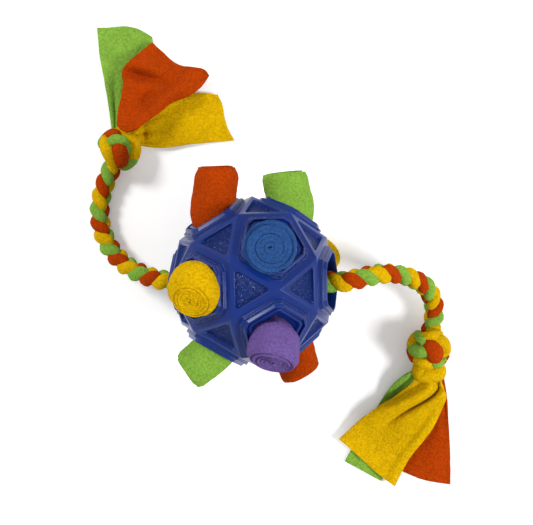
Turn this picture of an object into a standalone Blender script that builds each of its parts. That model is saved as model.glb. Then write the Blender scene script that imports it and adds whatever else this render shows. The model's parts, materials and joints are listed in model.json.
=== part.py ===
"""Dog snuffle ball: a rubber ball with twelve holes, five rolled fleece strips and one plaited rope.

Metres, +Z up. The toy lies on a floor at Z = 0, on three of its fleece rolls. The origin is on the
floor under the middle of the ball and its rolls. The ball is an icosidodecahedron: twelve pentagons,
each with a hole inside a raised double ridge, and twenty triangles, each with a sunk floor.
"""
import math

import bmesh
import bpy
from mathutils import Matrix, Vector

MM = 0.001

# Ball: size and pose
BALL_RADIUS = 55.0 * MM            # centre to a corner of the icosidodecahedron
FLOOR_CLEARANCE = 9.0 * MM         # under the ball, which stands on its three lower rolls
BALL_CENTRE_HEIGHT = BALL_RADIUS + FLOOR_CLEARANCE
BALL_OFFSET_X = -1.53 * MM         # ball centre from the middle of the ball with its rolls
BALL_OFFSET_Y = -2.45 * MM
BALL_ROLL = math.radians(4.9)      # first turn, about X
BALL_PITCH = math.radians(14.75)   # second turn, lifts the rope hole at +X

# Ball: relief of a pentagon, measured from the pentagon's own plane and edge
BAND_WIDTH = 3.4 * MM              # smooth band from an edge to the foot of the ridges
OUTER_RIDGE_SHARE = 0.36           # the outer ridge's apothem, as a share of the ball's radius
OUTER_RIDGE_APOTHEM = BALL_RADIUS * OUTER_RIDGE_SHARE
OUTER_RIDGE_HEIGHT = 2.6 * MM
OUTER_TREAD = 1.5 * MM             # flat step inside the outer ridge
LIP_HEIGHT = 4.9 * MM
LIP_WIDTH = 0.8 * MM               # flat crest between the inner ridge and the hole
RIDGE_SPAN = 3.2 * MM              # outer ridge's crest to the hole
HOLE_APOTHEM = OUTER_RIDGE_APOTHEM - RIDGE_SPAN
HOLE_DEPTH = 6.6 * MM              # from the lip's crest to the inside of the wall
CORNER_CUT = 3.2 * MM              # each ring's corner is cut this far along its sides
EDGE_MARGIN = 6.0 * MM             # smooth patch round each corner of the ball

# Ball: triangles and inside
TRIANGLE_BAND = 2.7 * MM
TRIANGLE_DEPTH = 2.2 * MM
TRIANGLE_DRAFT = 0.5 * MM          # the recess is this much smaller at its floor, each side
TRIANGLE_CORNER_CUT = 1.8 * MM
CORNER_WALL = 5.0 * MM             # at a corner of the ball
INNER_RADIUS = BALL_RADIUS - CORNER_WALL

# Fleece rolls
FLEECE_THICKNESS = 1.9 * MM
WRAP_GAP = 0.45 * MM               # between one turn of fleece and the next
ROLL_SLACK = 2.4 * MM              # round a roll, where it passes its hole
ROLL_RADIUS = HOLE_APOTHEM - ROLL_SLACK
ROLL_CORE_RADIUS = 0.55 * MM       # open eye at the middle of a roll
ROLL_FLARE_SHARE = 1.05            # how much a roll swells outside its hole
ROLL_SUNK = 22.0 * MM              # a roll's inner end lies this far inside the ball's radius
ROLL_INNER_REACH = BALL_RADIUS - ROLL_SUNK
BEND_SUNK = 3.5 * MM               # a roll starts to lean this far inside the ball's radius
BEND_REACH = BALL_RADIUS - BEND_SUNK
BEND_RADIUS = 20.0 * MM
FOOT_CUT = 0.5 * MM                # depth of the flat on the rolls that the toy stands on
SLIGHT_SHIFT = 0.4 * MM            # how far a roll lies off its hole's axis
PRESSED_SHIFT = 1.5 * MM
FRONT_SHIFT = 1.8 * MM
RESTING_SHIFT = 2.0 * MM
BLUE_FRONT_PROUD = -0.4 * MM       # how far a roll's outer end stands out of the ball's radius
PURPLE_FRONT_PROUD = 16.5 * MM
YELLOW_LEFT_PROUD = 7.4 * MM
ORANGE_TOP_PROUD = 23.4 * MM
ORANGE_BOTTOM_PROUD = 15.4 * MM
GREEN_TOP_PROUD = 22.2 * MM
GREEN_BOTTOM_PROUD = 17.0 * MM
STEPS_PER_TURN = 12

# Strip middles inside the ball
LINK_RADIUS = 2.8 * MM
LINK_INSET = 4.45 * MM             # each middle's axis lies this far inside its rolls' radius
LINK_OFFSET = ROLL_RADIUS - LINK_INSET
FIT_GAP = 0.3 * MM                 # between pieces that touch

# Rope
ROPE_DIAMETER = 13.0 * MM
PIVOT_SUNK = 3.2 * MM              # each end's swing axis is this far inside the ball's radius
PIVOT_REACH = BALL_RADIUS - PIVOT_SUNK
ROPE_STEP = 9.0 * MM               # spacing of the tube's rings
ROPE_STRAIGHT = 6.5 * MM           # straight out of the hole before the rope bends
KNOT_RADIUS = 15.2 * MM
KNOT_HALF_HEIGHT = 14.4 * MM
KNOT_LOBE_DEPTH = 0.5 * MM
KNOT_LOBES = 3
KNOT_TWIST = 2.6                   # turns of the lobes from pole to pole, in radians

# Free stretches, hand-laid from the ball's centre in plan and from the floor in height
ROPE_LEFT_ROUTE = [
    (-70.0 * MM, 2.4 * MM, 38.5 * MM), (-87.0 * MM, 9.6 * MM, 23.5 * MM),
    (-100.0 * MM, 21.4 * MM, 12.6 * MM), (-107.2 * MM, 35.6 * MM, 8.0 * MM),
    (-108.8 * MM, 50.0 * MM, 7.2 * MM), (-106.0 * MM, 64.5 * MM, 7.6 * MM),
    (-100.9 * MM, 76.6 * MM, 9.2 * MM),
]
ROPE_RIGHT_ROUTE = [
    (64.5 * MM, 1.6 * MM, 78.6 * MM), (79.5 * MM, 4.6 * MM, 71.5 * MM),
    (93.0 * MM, 4.6 * MM, 57.5 * MM), (106.0 * MM, 1.4 * MM, 40.5 * MM),
    (118.0 * MM, -5.2 * MM, 24.0 * MM), (124.6 * MM, -16.0 * MM, 12.4 * MM),
    (125.4 * MM, -26.0 * MM, 9.0 * MM), (123.8 * MM, -32.2 * MM, 9.4 * MM),
]

# Loose ends of the rope's strips
CLOTH_THICKNESS = 2.0 * MM
NECK_WIDTH = 8.4 * MM              # a strip is gathered to this where it leaves the knot
NECK_THICKNESS = 4.4 * MM
TOP_LAYER_HEIGHT = 2.4 * MM        # underside of an end that lies over the others
LEFT_GREEN_LENGTH = 71.0 * MM
LEFT_GREEN_WIDTH = 42.0 * MM
LEFT_ORANGE_LENGTH = 61.0 * MM
LEFT_ORANGE_WIDTH = 54.0 * MM
LEFT_YELLOW_LENGTH = 63.0 * MM
LEFT_YELLOW_WIDTH = 34.0 * MM
RIGHT_YELLOW_LENGTH = 79.0 * MM
RIGHT_YELLOW_WIDTH = 51.0 * MM
RIGHT_ORANGE_LENGTH = 77.0 * MM
RIGHT_ORANGE_WIDTH = 36.0 * MM
RIGHT_GREEN_LENGTH = 84.0 * MM
RIGHT_GREEN_WIDTH = 32.0 * MM
FOLD_HEIGHT = 6.0 * MM
LOW_NECK_HEIGHT = 4.0 * MM         # underside of a lower end's neck
HIGH_NECK_HEIGHT = 12.5 * MM       # underside of an upper end's neck
LOW_LANDING_SHARE = 0.35           # share of its length at which an end lies flat
HIGH_LANDING_SHARE = 0.70
FAST_SPREAD_SHARE = 0.6            # share of its length at which an end has its full width
SLOW_SPREAD_SHARE = 1.0

# Shares of an icosidodecahedron's circumradius, and the angle between its opposite-facing rings
GOLDEN_SHARE = (1.0 + math.sqrt(5.0)) / 2.0
EDGE_SHARE = 1.0 / GOLDEN_SHARE
PENTAGON_PLANE_SHARE = math.sqrt(1.0 - (EDGE_SHARE / (2.0 * math.sin(math.pi / 5.0))) ** 2)
PENTAGON_APOTHEM_SHARE = EDGE_SHARE / (2.0 * math.tan(math.pi / 5.0))
TRIANGLE_APOTHEM_SHARE = EDGE_SHARE / (2.0 * math.sqrt(3.0))
RING_ANGLE = math.atan(2.0)
CORNER_COS = math.cos(math.pi / 5.0)
NEIGHBOUR_COS = (0.4, 0.5)         # two holes are neighbours when their axes' cosine is between these

# Mesh resolution
TUBE_SIDES = 12
BEVEL_STEPS = 4
ROOT_ANGLES = (88.0, 60.0, 30.0)   # rings of the round root of a free stretch, degrees from its axis
ROUTE_SAMPLES = 24
KNOT_SEGMENTS = 18
KNOT_RINGS = 12
TAIL_ROWS = 7
TAIL_COLUMNS = 8

# Colours and finishes: base colour, roughness
RUBBER_BLUE = ((0.020, 0.045, 0.220, 1.0), 0.42)
FLEECE_BLUE = ((0.085, 0.230, 0.520, 1.0), 0.95)
FLEECE_PURPLE = ((0.270, 0.150, 0.420, 1.0), 0.95)
FLEECE_YELLOW = ((0.720, 0.520, 0.015, 1.0), 0.95)
FLEECE_ORANGE = ((0.560, 0.070, 0.008, 1.0), 0.95)
FLEECE_GREEN = ((0.270, 0.520, 0.070, 1.0), 0.95)
STRIP_FINISHES = {"blue": FLEECE_BLUE, "purple": FLEECE_PURPLE, "green": FLEECE_GREEN,
                  "orange": FLEECE_ORANGE, "yellow": FLEECE_YELLOW}

# Holes by the angle round the rope's axis: the rope's own two come first
RING_ANGLES = {"blue": 36.0, "purple": -36.0, "green": 108.0, "orange": -108.0, "yellow": 180.0}

# Rolls: strip colour, side of the ball, outer end's heading, how far it stands out of the ball, and
# how far the roll lies off its hole's axis, to the side it leans to. A roll without a heading is
# straight and lies against the upper side of its hole, so that it carries the ball. Where the length
# is None, it is worked out so that the roll's rim reaches the floor.
ROLLS = {
    "blue_roll_front": ("blue", 1, (0.17, 0.36, 0.92), BLUE_FRONT_PROUD, FRONT_SHIFT),
    "blue_roll_back": ("blue", -1, None, None, RESTING_SHIFT),
    "purple_roll_front": ("purple", 1, (-0.14, -0.86, 0.50), PURPLE_FRONT_PROUD, SLIGHT_SHIFT),
    "purple_roll_back": ("purple", -1, None, None, RESTING_SHIFT),
    "yellow_roll_left": ("yellow", -1, (-0.44, -0.45, 0.78), YELLOW_LEFT_PROUD, PRESSED_SHIFT),
    "yellow_roll_right": ("yellow", 1, (0.44, 0.76, -0.48), None, SLIGHT_SHIFT),
    "orange_roll_top": ("orange", -1, (0.25, 0.96, 0.14), ORANGE_TOP_PROUD, SLIGHT_SHIFT),
    "orange_roll_bottom": ("orange", 1, (0.17, -0.97, -0.17), ORANGE_BOTTOM_PROUD, SLIGHT_SHIFT),
    "green_roll_top": ("green", 1, (-0.28, 0.96, 0.03), GREEN_TOP_PROUD, SLIGHT_SHIFT),
    "green_roll_bottom": ("green", -1, (-0.86, -0.50, 0.0), GREEN_BOTTOM_PROUD, SLIGHT_SHIFT),
}
MAX_LEAN = math.radians(46.0)

# Loose ends: knot, heading, total turn, length, width, over the others, spread, finish
TAILS = {
    "left_tail_green": ("left", 86.0, 0.0, LEFT_GREEN_LENGTH, LEFT_GREEN_WIDTH, False,
                        SLOW_SPREAD_SHARE, FLEECE_GREEN),
    "left_tail_yellow": ("left", 22.0, -12.0, LEFT_YELLOW_LENGTH, LEFT_YELLOW_WIDTH, False,
                         FAST_SPREAD_SHARE, FLEECE_YELLOW),
    "left_tail_orange": ("left", 57.0, -4.0, LEFT_ORANGE_LENGTH, LEFT_ORANGE_WIDTH, True,
                         FAST_SPREAD_SHARE, FLEECE_ORANGE),
    "right_tail_green": ("right", -113.0, -14.0, RIGHT_GREEN_LENGTH, RIGHT_GREEN_WIDTH, False,
                         SLOW_SPREAD_SHARE, FLEECE_GREEN),
    "right_tail_orange": ("right", -78.0, -30.0, RIGHT_ORANGE_LENGTH, RIGHT_ORANGE_WIDTH, False,
                          SLOW_SPREAD_SHARE, FLEECE_ORANGE),
    "right_tail_yellow": ("right", -99.0, -40.0, RIGHT_YELLOW_LENGTH, RIGHT_YELLOW_WIDTH, True,
                          FAST_SPREAD_SHARE, FLEECE_YELLOW),
}


def clear_scene():
    """Remove every object of the open file."""
    for thing in list(bpy.data.objects):
        bpy.data.objects.remove(thing, do_unlink=True)


def finish_material(name, finish):
    """A plain Principled material for one node."""
    colour, roughness = finish
    material = bpy.data.materials.new(name + "_finish")
    material.use_nodes = True
    shader = material.node_tree.nodes["Principled BSDF"]
    shader.inputs["Base Color"].default_value = colour
    shader.inputs["Roughness"].default_value = roughness
    shader.inputs["Metallic"].default_value = 0.0
    return material


def add_node(name, bm, finish, origin=Vector((0.0, 0.0, 0.0)), parent=None):
    """Make a named object from a mesh in world coordinates, with its origin at a world point."""
    bmesh.ops.recalc_face_normals(bm, faces=bm.faces)
    bm.transform(Matrix.Translation(-origin))
    mesh = bpy.data.meshes.new(name)
    bm.to_mesh(mesh)
    bm.free()
    node = bpy.data.objects.new(name, mesh)
    bpy.context.scene.collection.objects.link(node)
    place_under(node, origin, parent)
    mesh.materials.append(finish_material(name, finish))
    return node


def place_under(node, origin, parent):
    """Put a node's origin at a world point, under a parent empty if it has one."""
    if parent is not None:
        node.parent = parent
        node.location = origin - parent.location
    else:
        node.location = origin


def add_carrier(name, place):
    """An empty on a moving body's joint."""
    carrier = bpy.data.objects.new(name, None)
    carrier.empty_display_size = ROPE_DIAMETER
    carrier.location = place
    bpy.context.scene.collection.objects.link(carrier)
    return carrier


def ball_centre():
    """World place of the ball's centre."""
    return Vector((BALL_OFFSET_X, BALL_OFFSET_Y, BALL_CENTRE_HEIGHT))


def hole_axes():
    """Outward directions of the twelve holes, by name: rope first, then each strip's two sides."""
    turn = Matrix.Rotation(-BALL_PITCH, 3, "Y") @ Matrix.Rotation(BALL_ROLL, 3, "X")
    axes = {"rope+": turn @ Vector((1.0, 0.0, 0.0))}
    for colour, angle in RING_ANGLES.items():
        around = math.radians(angle)
        local = Vector((math.cos(RING_ANGLE), math.sin(RING_ANGLE) * math.sin(around),
                        math.sin(RING_ANGLE) * math.cos(around)))
        axes[colour + "+"] = turn @ local
    for name in list(axes):
        axes[name[:-1] + "-"] = -axes[name]
    return axes


def side_frame(normal):
    """Two unit vectors square to a direction."""
    first = normal.orthogonal().normalized()
    return first, normal.cross(first)


def neighbours_in_turn(name, axes):
    """The five holes next to a hole, in order round it."""
    normal = axes[name]
    near = [other for other in axes
            if other != name and NEIGHBOUR_COS[0] < normal.dot(axes[other]) < NEIGHBOUR_COS[1]]
    first, second = side_frame(normal)
    near.sort(key=lambda other: math.atan2(axes[other].dot(second), axes[other].dot(first)))
    return near


def cut_ring(corners, cut):
    """Cut each corner of a closed outline: two points a corner, before and after it."""
    count = len(corners)
    pairs = []
    for index in range(count):
        here = corners[index]
        before = (corners[index - 1] - here).normalized()
        after = (corners[(index + 1) % count] - here).normalized()
        pairs.append((here + before * cut, here + after * cut))
    return pairs


def pentagon_ring(name, axes, order, apothem, height, cut):
    """Corner pairs of a pentagon round a hole, at a height from the ball's centre."""
    normal = axes[name]
    corners = []
    for other in order:
        outward = (axes[other] - normal * normal.dot(axes[other])).normalized()
        corners.append(ball_centre() + normal * height + outward * (apothem / CORNER_COS))
    return cut_ring(corners, cut)


def ring_vertices(bm, pairs):
    """Mesh vertices for corner pairs."""
    return [(bm.verts.new(first), bm.verts.new(second)) for first, second in pairs]


def bridge_rings(bm, outer, inner):
    """Faces between two rings with the same corners."""
    count = len(outer)
    for index in range(count):
        following = (index + 1) % count
        bm.faces.new((outer[index][0], outer[index][1], inner[index][1], inner[index][0]))
        bm.faces.new((outer[index][1], outer[following][0], inner[following][0], inner[index][1]))


def pentagon_levels():
    """Rings of a pentagon from its band down into its hole: apothem, height from centre, corner cut."""
    plane = BALL_RADIUS * PENTAGON_PLANE_SHARE
    edge = BALL_RADIUS * PENTAGON_APOTHEM_SHARE
    crest = HOLE_APOTHEM + LIP_WIDTH
    return [
        (edge - BAND_WIDTH, plane, CORNER_CUT),
        (OUTER_RIDGE_APOTHEM, plane + OUTER_RIDGE_HEIGHT, CORNER_CUT),
        (OUTER_RIDGE_APOTHEM - OUTER_TREAD, plane + OUTER_RIDGE_HEIGHT, CORNER_CUT),
        (crest, plane + LIP_HEIGHT, CORNER_CUT),
        (HOLE_APOTHEM, plane + LIP_HEIGHT, CORNER_CUT),
        (HOLE_APOTHEM, plane + LIP_HEIGHT - HOLE_DEPTH, CORNER_CUT),
    ]


def build_ball(axes):
    """The hollow rubber ball with twelve ridged holes and twenty sunk triangles."""
    bm = bmesh.new()
    centre = ball_centre()
    order = {name: neighbours_in_turn(name, axes) for name in axes}
    corners = {}
    inner_corners = {}
    for name in axes:
        for other in order[name]:
            key = frozenset((name, other))
            if key not in corners:
                outward = (axes[name] + axes[other]).normalized()
                corners[key] = bm.verts.new(centre + outward * BALL_RADIUS)
                inner_corners[key] = bm.verts.new(centre + outward * INNER_RADIUS)
    patches = {key: [] for key in corners}
    edge_points = {}
    sides = []
    for name in axes:
        rings = []
        for apothem, height, cut in pentagon_levels():
            pairs = pentagon_ring(name, axes, order[name], apothem, height, cut)
            rings.append(ring_vertices(bm, pairs))
        for outer, inner in zip(rings, rings[1:]):
            bridge_rings(bm, outer, inner)
        foot = rings[0]
        mouth = rings[-1]
        for index, other in enumerate(order[name]):
            following = (index + 1) % len(order[name])
            third = order[name][following]
            here = frozenset((name, other))
            there = frozenset((name, third))
            triangle = frozenset((name, other, third))
            along = (corners[there].co - corners[here].co).normalized()
            near = bm.verts.new(corners[here].co + along * EDGE_MARGIN)
            far = bm.verts.new(corners[there].co - along * EDGE_MARGIN)
            edge_points[(triangle, name, here)] = near
            edge_points[(triangle, name, there)] = far
            patches[here] += [near, foot[index][0], foot[index][1]]
            patches[there].append(far)
            bm.faces.new((foot[index][1], foot[following][0], far, near))
            bm.faces.new((mouth[index][1], mouth[following][0], inner_corners[there], inner_corners[here]))
            bm.faces.new((mouth[index][0], mouth[index][1], inner_corners[here]))
            sides.append((triangle, name, here, there))
    add_triangles(bm, axes, corners, inner_corners, patches, edge_points, sides)
    for key, ring in patches.items():
        close_patch(bm, corners[key], ring, centre)
    return add_node("ball_shell", bm, RUBBER_BLUE, centre)


def add_triangles(bm, axes, corners, inner_corners, patches, edge_points, sides):
    """The sunk triangles, their bands and the flat triangles inside the ball."""
    for triangle in sorted({side[0] for side in sides}, key=sorted):
        names = sorted(triangle)
        normal = sum((axes[name] for name in names), Vector((0.0, 0.0, 0.0))).normalized()
        keys = [frozenset((names[0], names[1])), frozenset((names[1], names[2])),
                frozenset((names[2], names[0]))]
        places = [corners[key].co for key in keys]
        middle = sum(places, Vector((0.0, 0.0, 0.0))) / len(places)
        edge_apothem = BALL_RADIUS * TRIANGLE_APOTHEM_SHARE
        rim_share = (edge_apothem - TRIANGLE_BAND) / edge_apothem
        floor_share = (edge_apothem - TRIANGLE_BAND - TRIANGLE_DRAFT) / edge_apothem
        rim_points = [middle + (place - middle) * rim_share for place in places]
        drop = normal * -TRIANGLE_DEPTH
        floor_points = [middle + (place - middle) * floor_share + drop for place in places]
        rim = ring_vertices(bm, cut_ring(rim_points, TRIANGLE_CORNER_CUT))
        floor = ring_vertices(bm, cut_ring(floor_points, TRIANGLE_CORNER_CUT))
        bridge_rings(bm, rim, floor)
        bm.faces.new([vertex for pair in floor for vertex in pair])
        bm.faces.new([inner_corners[key] for key in keys])
        for index, key in enumerate(keys):
            following = (index + 1) % len(keys)
            owner = next(iter(key & keys[following]))
            near = edge_points[(triangle, owner, key)]
            far = edge_points[(triangle, owner, keys[following])]
            bm.faces.new((near, far, rim[following][0], rim[index][1]))
            patches[key] += [rim[index][0], rim[index][1]]


def close_patch(bm, corner, ring, centre):
    """Fan the smooth patch round one corner of the ball."""
    outward = (corner.co - centre).normalized()
    first, second = side_frame(outward)

    def bearing(vertex):
        """Angle of a vertex round the corner."""
        away = vertex.co - corner.co
        return math.atan2(away.dot(second), away.dot(first))

    turn = sorted(ring, key=bearing)
    for vertex, following in zip(turn, turn[1:] + turn[:1]):
        bm.faces.new((corner, vertex, following))


def wrap_pitch():
    """Radial step from one turn of a roll to the next."""
    return FLEECE_THICKNESS + WRAP_GAP


def roll_outline():
    """Cross-section of a rolled strip: points down its outer side and back up its inner side."""
    pitch = wrap_pitch()
    half = FLEECE_THICKNESS / 2.0
    start = ROLL_CORE_RADIUS + half
    steps = round((ROLL_RADIUS - half - start) / pitch * STEPS_PER_TURN)
    start = ROLL_RADIUS - half - steps * pitch / STEPS_PER_TURN
    outer = []
    inner = []
    for step in range(steps + 1):
        angle = 2.0 * math.pi * step / STEPS_PER_TURN
        radius = start + pitch * step / STEPS_PER_TURN
        ray = Vector((math.cos(angle), math.sin(angle)))
        outer.append(ray * (radius + half))
        inner.append(ray * (radius - half))
    return outer, inner


def least_wrap_gap():
    """Least distance between one turn's outer side and the next turn's inner side."""
    outer, inner = roll_outline()
    least = ROLL_RADIUS
    for point in outer:
        for first, second in zip(inner, inner[1:]):
            run = second - first
            share = min(1.0, max(0.0, (point - first).dot(run) / run.length_squared))
            foot = first + run * share
            if foot.length > point.length:
                least = min(least, (foot - point).length)
    return least


def upper_side(hole, axes):
    """Direction from a hole's axis to the one of its sides that faces up most."""
    normal = axes[hole]
    sides = [(normal * normal.dot(axes[other]) - axes[other]).normalized()
             for other in neighbours_in_turn(hole, axes)]
    return max(sides, key=lambda side: side.z)


def roll_stations(hole, axes, heading, reach, shift):
    """Places, side vectors and scales along a roll, from its inner end to its outer end."""
    normal = axes[hole]
    centre = ball_centre()
    side, other = side_frame(normal)
    lean = 0.0
    tip_axis = normal
    turn = Matrix.Identity(3)
    if heading is not None:
        target = Vector(heading).normalized()
        lean = min(MAX_LEAN, normal.angle(target))
        hinge = normal.cross(target).normalized()
        turn = Matrix.Rotation(lean, 3, hinge)
        tip_axis = turn @ normal
        toward = (tip_axis - normal * math.cos(lean)).normalized()
    else:
        toward = upper_side(hole, axes)
    centre = centre + toward * shift
    stations = [(centre + normal * ROLL_INNER_REACH, side, other, 1.0),
                (centre + normal * BEND_REACH, side, other, 1.0)]
    place = stations[-1][0]
    if lean > 0.0:
        half_turn = Matrix.Rotation(lean / 2.0, 3, hinge)
        middle = place + (normal * math.sin(lean / 2.0) + toward * (1.0 - math.cos(lean / 2.0))) * BEND_RADIUS
        stations.append((middle, half_turn @ side, half_turn @ other, (1.0 + ROLL_FLARE_SHARE) / 2.0))
        place = place + (normal * math.sin(lean) + toward * (1.0 - math.cos(lean))) * BEND_RADIUS
    tip_side = turn @ side
    tip_other = turn @ other
    if reach is None:
        outer, _ = roll_outline()
        rim = min((tip_side * point.x + tip_other * point.y).z for point in outer) * ROLL_FLARE_SHARE
        run = (place.z + rim + FOOT_CUT) / -tip_axis.z
    else:
        run = reach - BEND_REACH - BEND_RADIUS * lean
    stations.append((place + tip_axis * run, tip_side, tip_other, ROLL_FLARE_SHARE))
    return stations


def build_roll(name, axes, carriers):
    """One rolled end of a fleece strip, as a wound band."""
    colour, side, heading, proud, shift = ROLLS[name]
    reach = None if proud is None else BALL_RADIUS + proud
    hole = colour + ("+" if side > 0 else "-")
    outer, inner = roll_outline()
    bm = bmesh.new()
    rows = []
    for place, first, second, scale in roll_stations(hole, axes, heading, reach, shift):
        row_outer = [bm.verts.new(place + (first * p.x + second * p.y) * scale) for p in outer]
        row_inner = [bm.verts.new(place + (first * p.x + second * p.y) * scale) for p in inner]
        rows.append((row_outer, row_inner))
    for (low_outer, low_inner), (high_outer, high_inner) in zip(rows, rows[1:]):
        for index in range(len(outer) - 1):
            after = index + 1
            bm.faces.new((low_outer[index], low_outer[after], high_outer[after], high_outer[index]))
            bm.faces.new((low_inner[after], low_inner[index], high_inner[index], high_inner[after]))
        bm.faces.new((low_outer[0], high_outer[0], high_inner[0], low_inner[0]))
        bm.faces.new((low_outer[-1], low_inner[-1], high_inner[-1], high_outer[-1]))
    for row_outer, row_inner in (rows[0], rows[-1]):
        for index in range(len(outer) - 1):
            after = index + 1
            bm.faces.new((row_outer[index], row_outer[after], row_inner[after], row_inner[index]))
    if reach is None:
        cut_at_floor(bm)
    return add_node(name, bm, STRIP_FINISHES[colour], ball_centre(), carriers[colour])


def cut_at_floor(bm):
    """Cut a solid flat at the floor."""
    geometry = bm.verts[:] + bm.edges[:] + bm.faces[:]
    bmesh.ops.bisect_plane(bm, geom=geometry, plane_co=(0.0, 0.0, 0.0), plane_no=(0.0, 0.0, -1.0),
                           clear_outer=True)
    open_edges = [edge for edge in bm.edges if edge.is_boundary]
    bmesh.ops.holes_fill(bm, edges=open_edges, sides=0)


def build_link(colour, axes, carriers):
    """The gathered middle of a strip, from one roll's inner end to the other's."""
    normal = axes[colour + "+"]
    beside = normal.cross(axes["rope+"]).normalized() * LINK_OFFSET
    half = ROLL_INNER_REACH - FIT_GAP
    route = [ball_centre() + beside + normal * (half * share) for share in (-1.0, 1.0)]
    bm = bmesh.new()
    add_tube(bm, route, LINK_RADIUS)
    return add_node(colour + "_strip_middle", bm, STRIP_FINISHES[colour], ball_centre(), carriers[colour])


def add_tube(bm, route, radius):
    """A straight capped tube between two points."""
    start, end = route
    run = end - start
    turn = run.to_track_quat("Z", "Y").to_matrix().to_4x4()
    place = Matrix.Translation((start + end) / 2.0) @ turn
    bmesh.ops.create_cone(bm, cap_ends=True, segments=TUBE_SIDES, radius1=radius, radius2=radius,
                          depth=run.length, matrix=place)


def smooth_route(points, spacing):
    """Evenly spaced points on a smooth curve through hand-laid points."""
    padded = [points[0] * 2.0 - points[1]] + points + [points[-1] * 2.0 - points[-2]]
    fine = []
    for index in range(1, len(padded) - 2):
        before, here, after, beyond = padded[index - 1:index + 3]
        for step in range(ROUTE_SAMPLES):
            t = step / ROUTE_SAMPLES
            fine.append(0.5 * (2.0 * here + (after - before) * t
                               + (2.0 * before - 5.0 * here + 4.0 * after - beyond) * t ** 2
                               + (3.0 * here - before - 3.0 * after + beyond) * t ** 3))
    fine.append(points[-1].copy())
    lengths = [0.0]
    for first, second in zip(fine, fine[1:]):
        lengths.append(lengths[-1] + (second - first).length)
    count = max(2, round(lengths[-1] / spacing))
    result = []
    cursor = 0
    for index in range(count + 1):
        wanted = lengths[-1] * index / count
        while cursor < len(lengths) - 2 and lengths[cursor + 1] < wanted:
            cursor += 1
        share = (wanted - lengths[cursor]) / (lengths[cursor + 1] - lengths[cursor])
        result.append(fine[cursor].lerp(fine[cursor + 1], share))
    return result


def plan_point(point):
    """World place of a hand-laid point that is given from the ball's centre in plan."""
    return Vector((point[0] + BALL_OFFSET_X, point[1] + BALL_OFFSET_Y, point[2]))


def rope_points(side, axes):
    """Points of one free stretch of rope: straight out of its hole, then along its route."""
    axis = axes["rope+"] * side
    pivot = ball_centre() + axis * PIVOT_REACH
    route = ROPE_RIGHT_ROUTE if side > 0 else ROPE_LEFT_ROUTE
    laid = [pivot, pivot + axis * ROPE_STRAIGHT] + [plan_point(point) for point in route]
    return smooth_route(laid, ROPE_STEP)


def build_rope_end(name, side, axes, carrier):
    """A free stretch of rope, with a round root centred on its swing axis."""
    points = rope_points(side, axes)
    axis = axes["rope+"] * side
    radius = ROPE_DIAMETER / 2.0
    root = []
    for angle in ROOT_ANGLES:
        back = math.sin(math.radians(angle))
        root.append((points[0] - axis * radius * back, math.cos(math.radians(angle))))
    curve = bpy.data.curves.new(name, "CURVE")
    curve.dimensions = "3D"
    curve.bevel_depth = radius
    curve.bevel_resolution = BEVEL_STEPS
    curve.use_fill_caps = True
    spline = curve.splines.new("POLY")
    spline.points.add(len(root) + len(points) - 1)
    places = root + [(point, 1.0) for point in points]
    origin = points[0]
    for target, (point, scale) in zip(spline.points, places):
        away = point - origin
        target.co = (away.x, away.y, away.z, 1.0)
        target.radius = scale
    node = bpy.data.objects.new(name, curve)
    bpy.context.scene.collection.objects.link(node)
    place_under(node, origin, carrier)
    curve.materials.append(finish_material(name, FLEECE_ORANGE))
    return node


def knot_centre(side, axes):
    """Centre of a knot, just past the end of its stretch of rope and resting on the floor."""
    points = rope_points(side, axes)
    heading = points[-1] - points[-2]
    heading.z = 0.0
    heading.normalize()
    place = points[-1] + heading * (KNOT_RADIUS + FIT_GAP)
    place.z = KNOT_HALF_HEIGHT - FOOT_CUT
    return place


def build_knot(name, side, axes, carrier):
    """A tight round knot: a lobed ball, cut flat where it rests."""
    centre = knot_centre(side, axes)
    bm = bmesh.new()
    bmesh.ops.create_uvsphere(bm, u_segments=KNOT_SEGMENTS, v_segments=KNOT_RINGS, radius=1.0)
    for vertex in bm.verts:
        around = math.atan2(vertex.co.y, vertex.co.x)
        lobe = 0.5 * (1.0 - math.cos(KNOT_LOBES * around + KNOT_TWIST * vertex.co.z))
        flat = KNOT_RADIUS - KNOT_LOBE_DEPTH * lobe
        vertex.co = Vector((vertex.co.x * flat, vertex.co.y * flat, vertex.co.z * KNOT_HALF_HEIGHT))
    bm.transform(Matrix.Translation(centre))
    cut_at_floor(bm)
    return add_node(name, bm, FLEECE_GREEN, centre, carrier)


def ease(share):
    """Smooth step from 0 to 1."""
    share = min(1.0, max(0.0, share))
    return share * share * (3.0 - 2.0 * share)


def knot_reach(low, high):
    """Widest reach of a knot from its upright axis, between two heights above the floor."""
    middle = KNOT_HALF_HEIGHT - FOOT_CUT
    nearest = min(max(middle, low), high)
    share = (nearest - middle) / KNOT_HALF_HEIGHT
    return KNOT_RADIUS * math.sqrt(1.0 - share * share)


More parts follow.
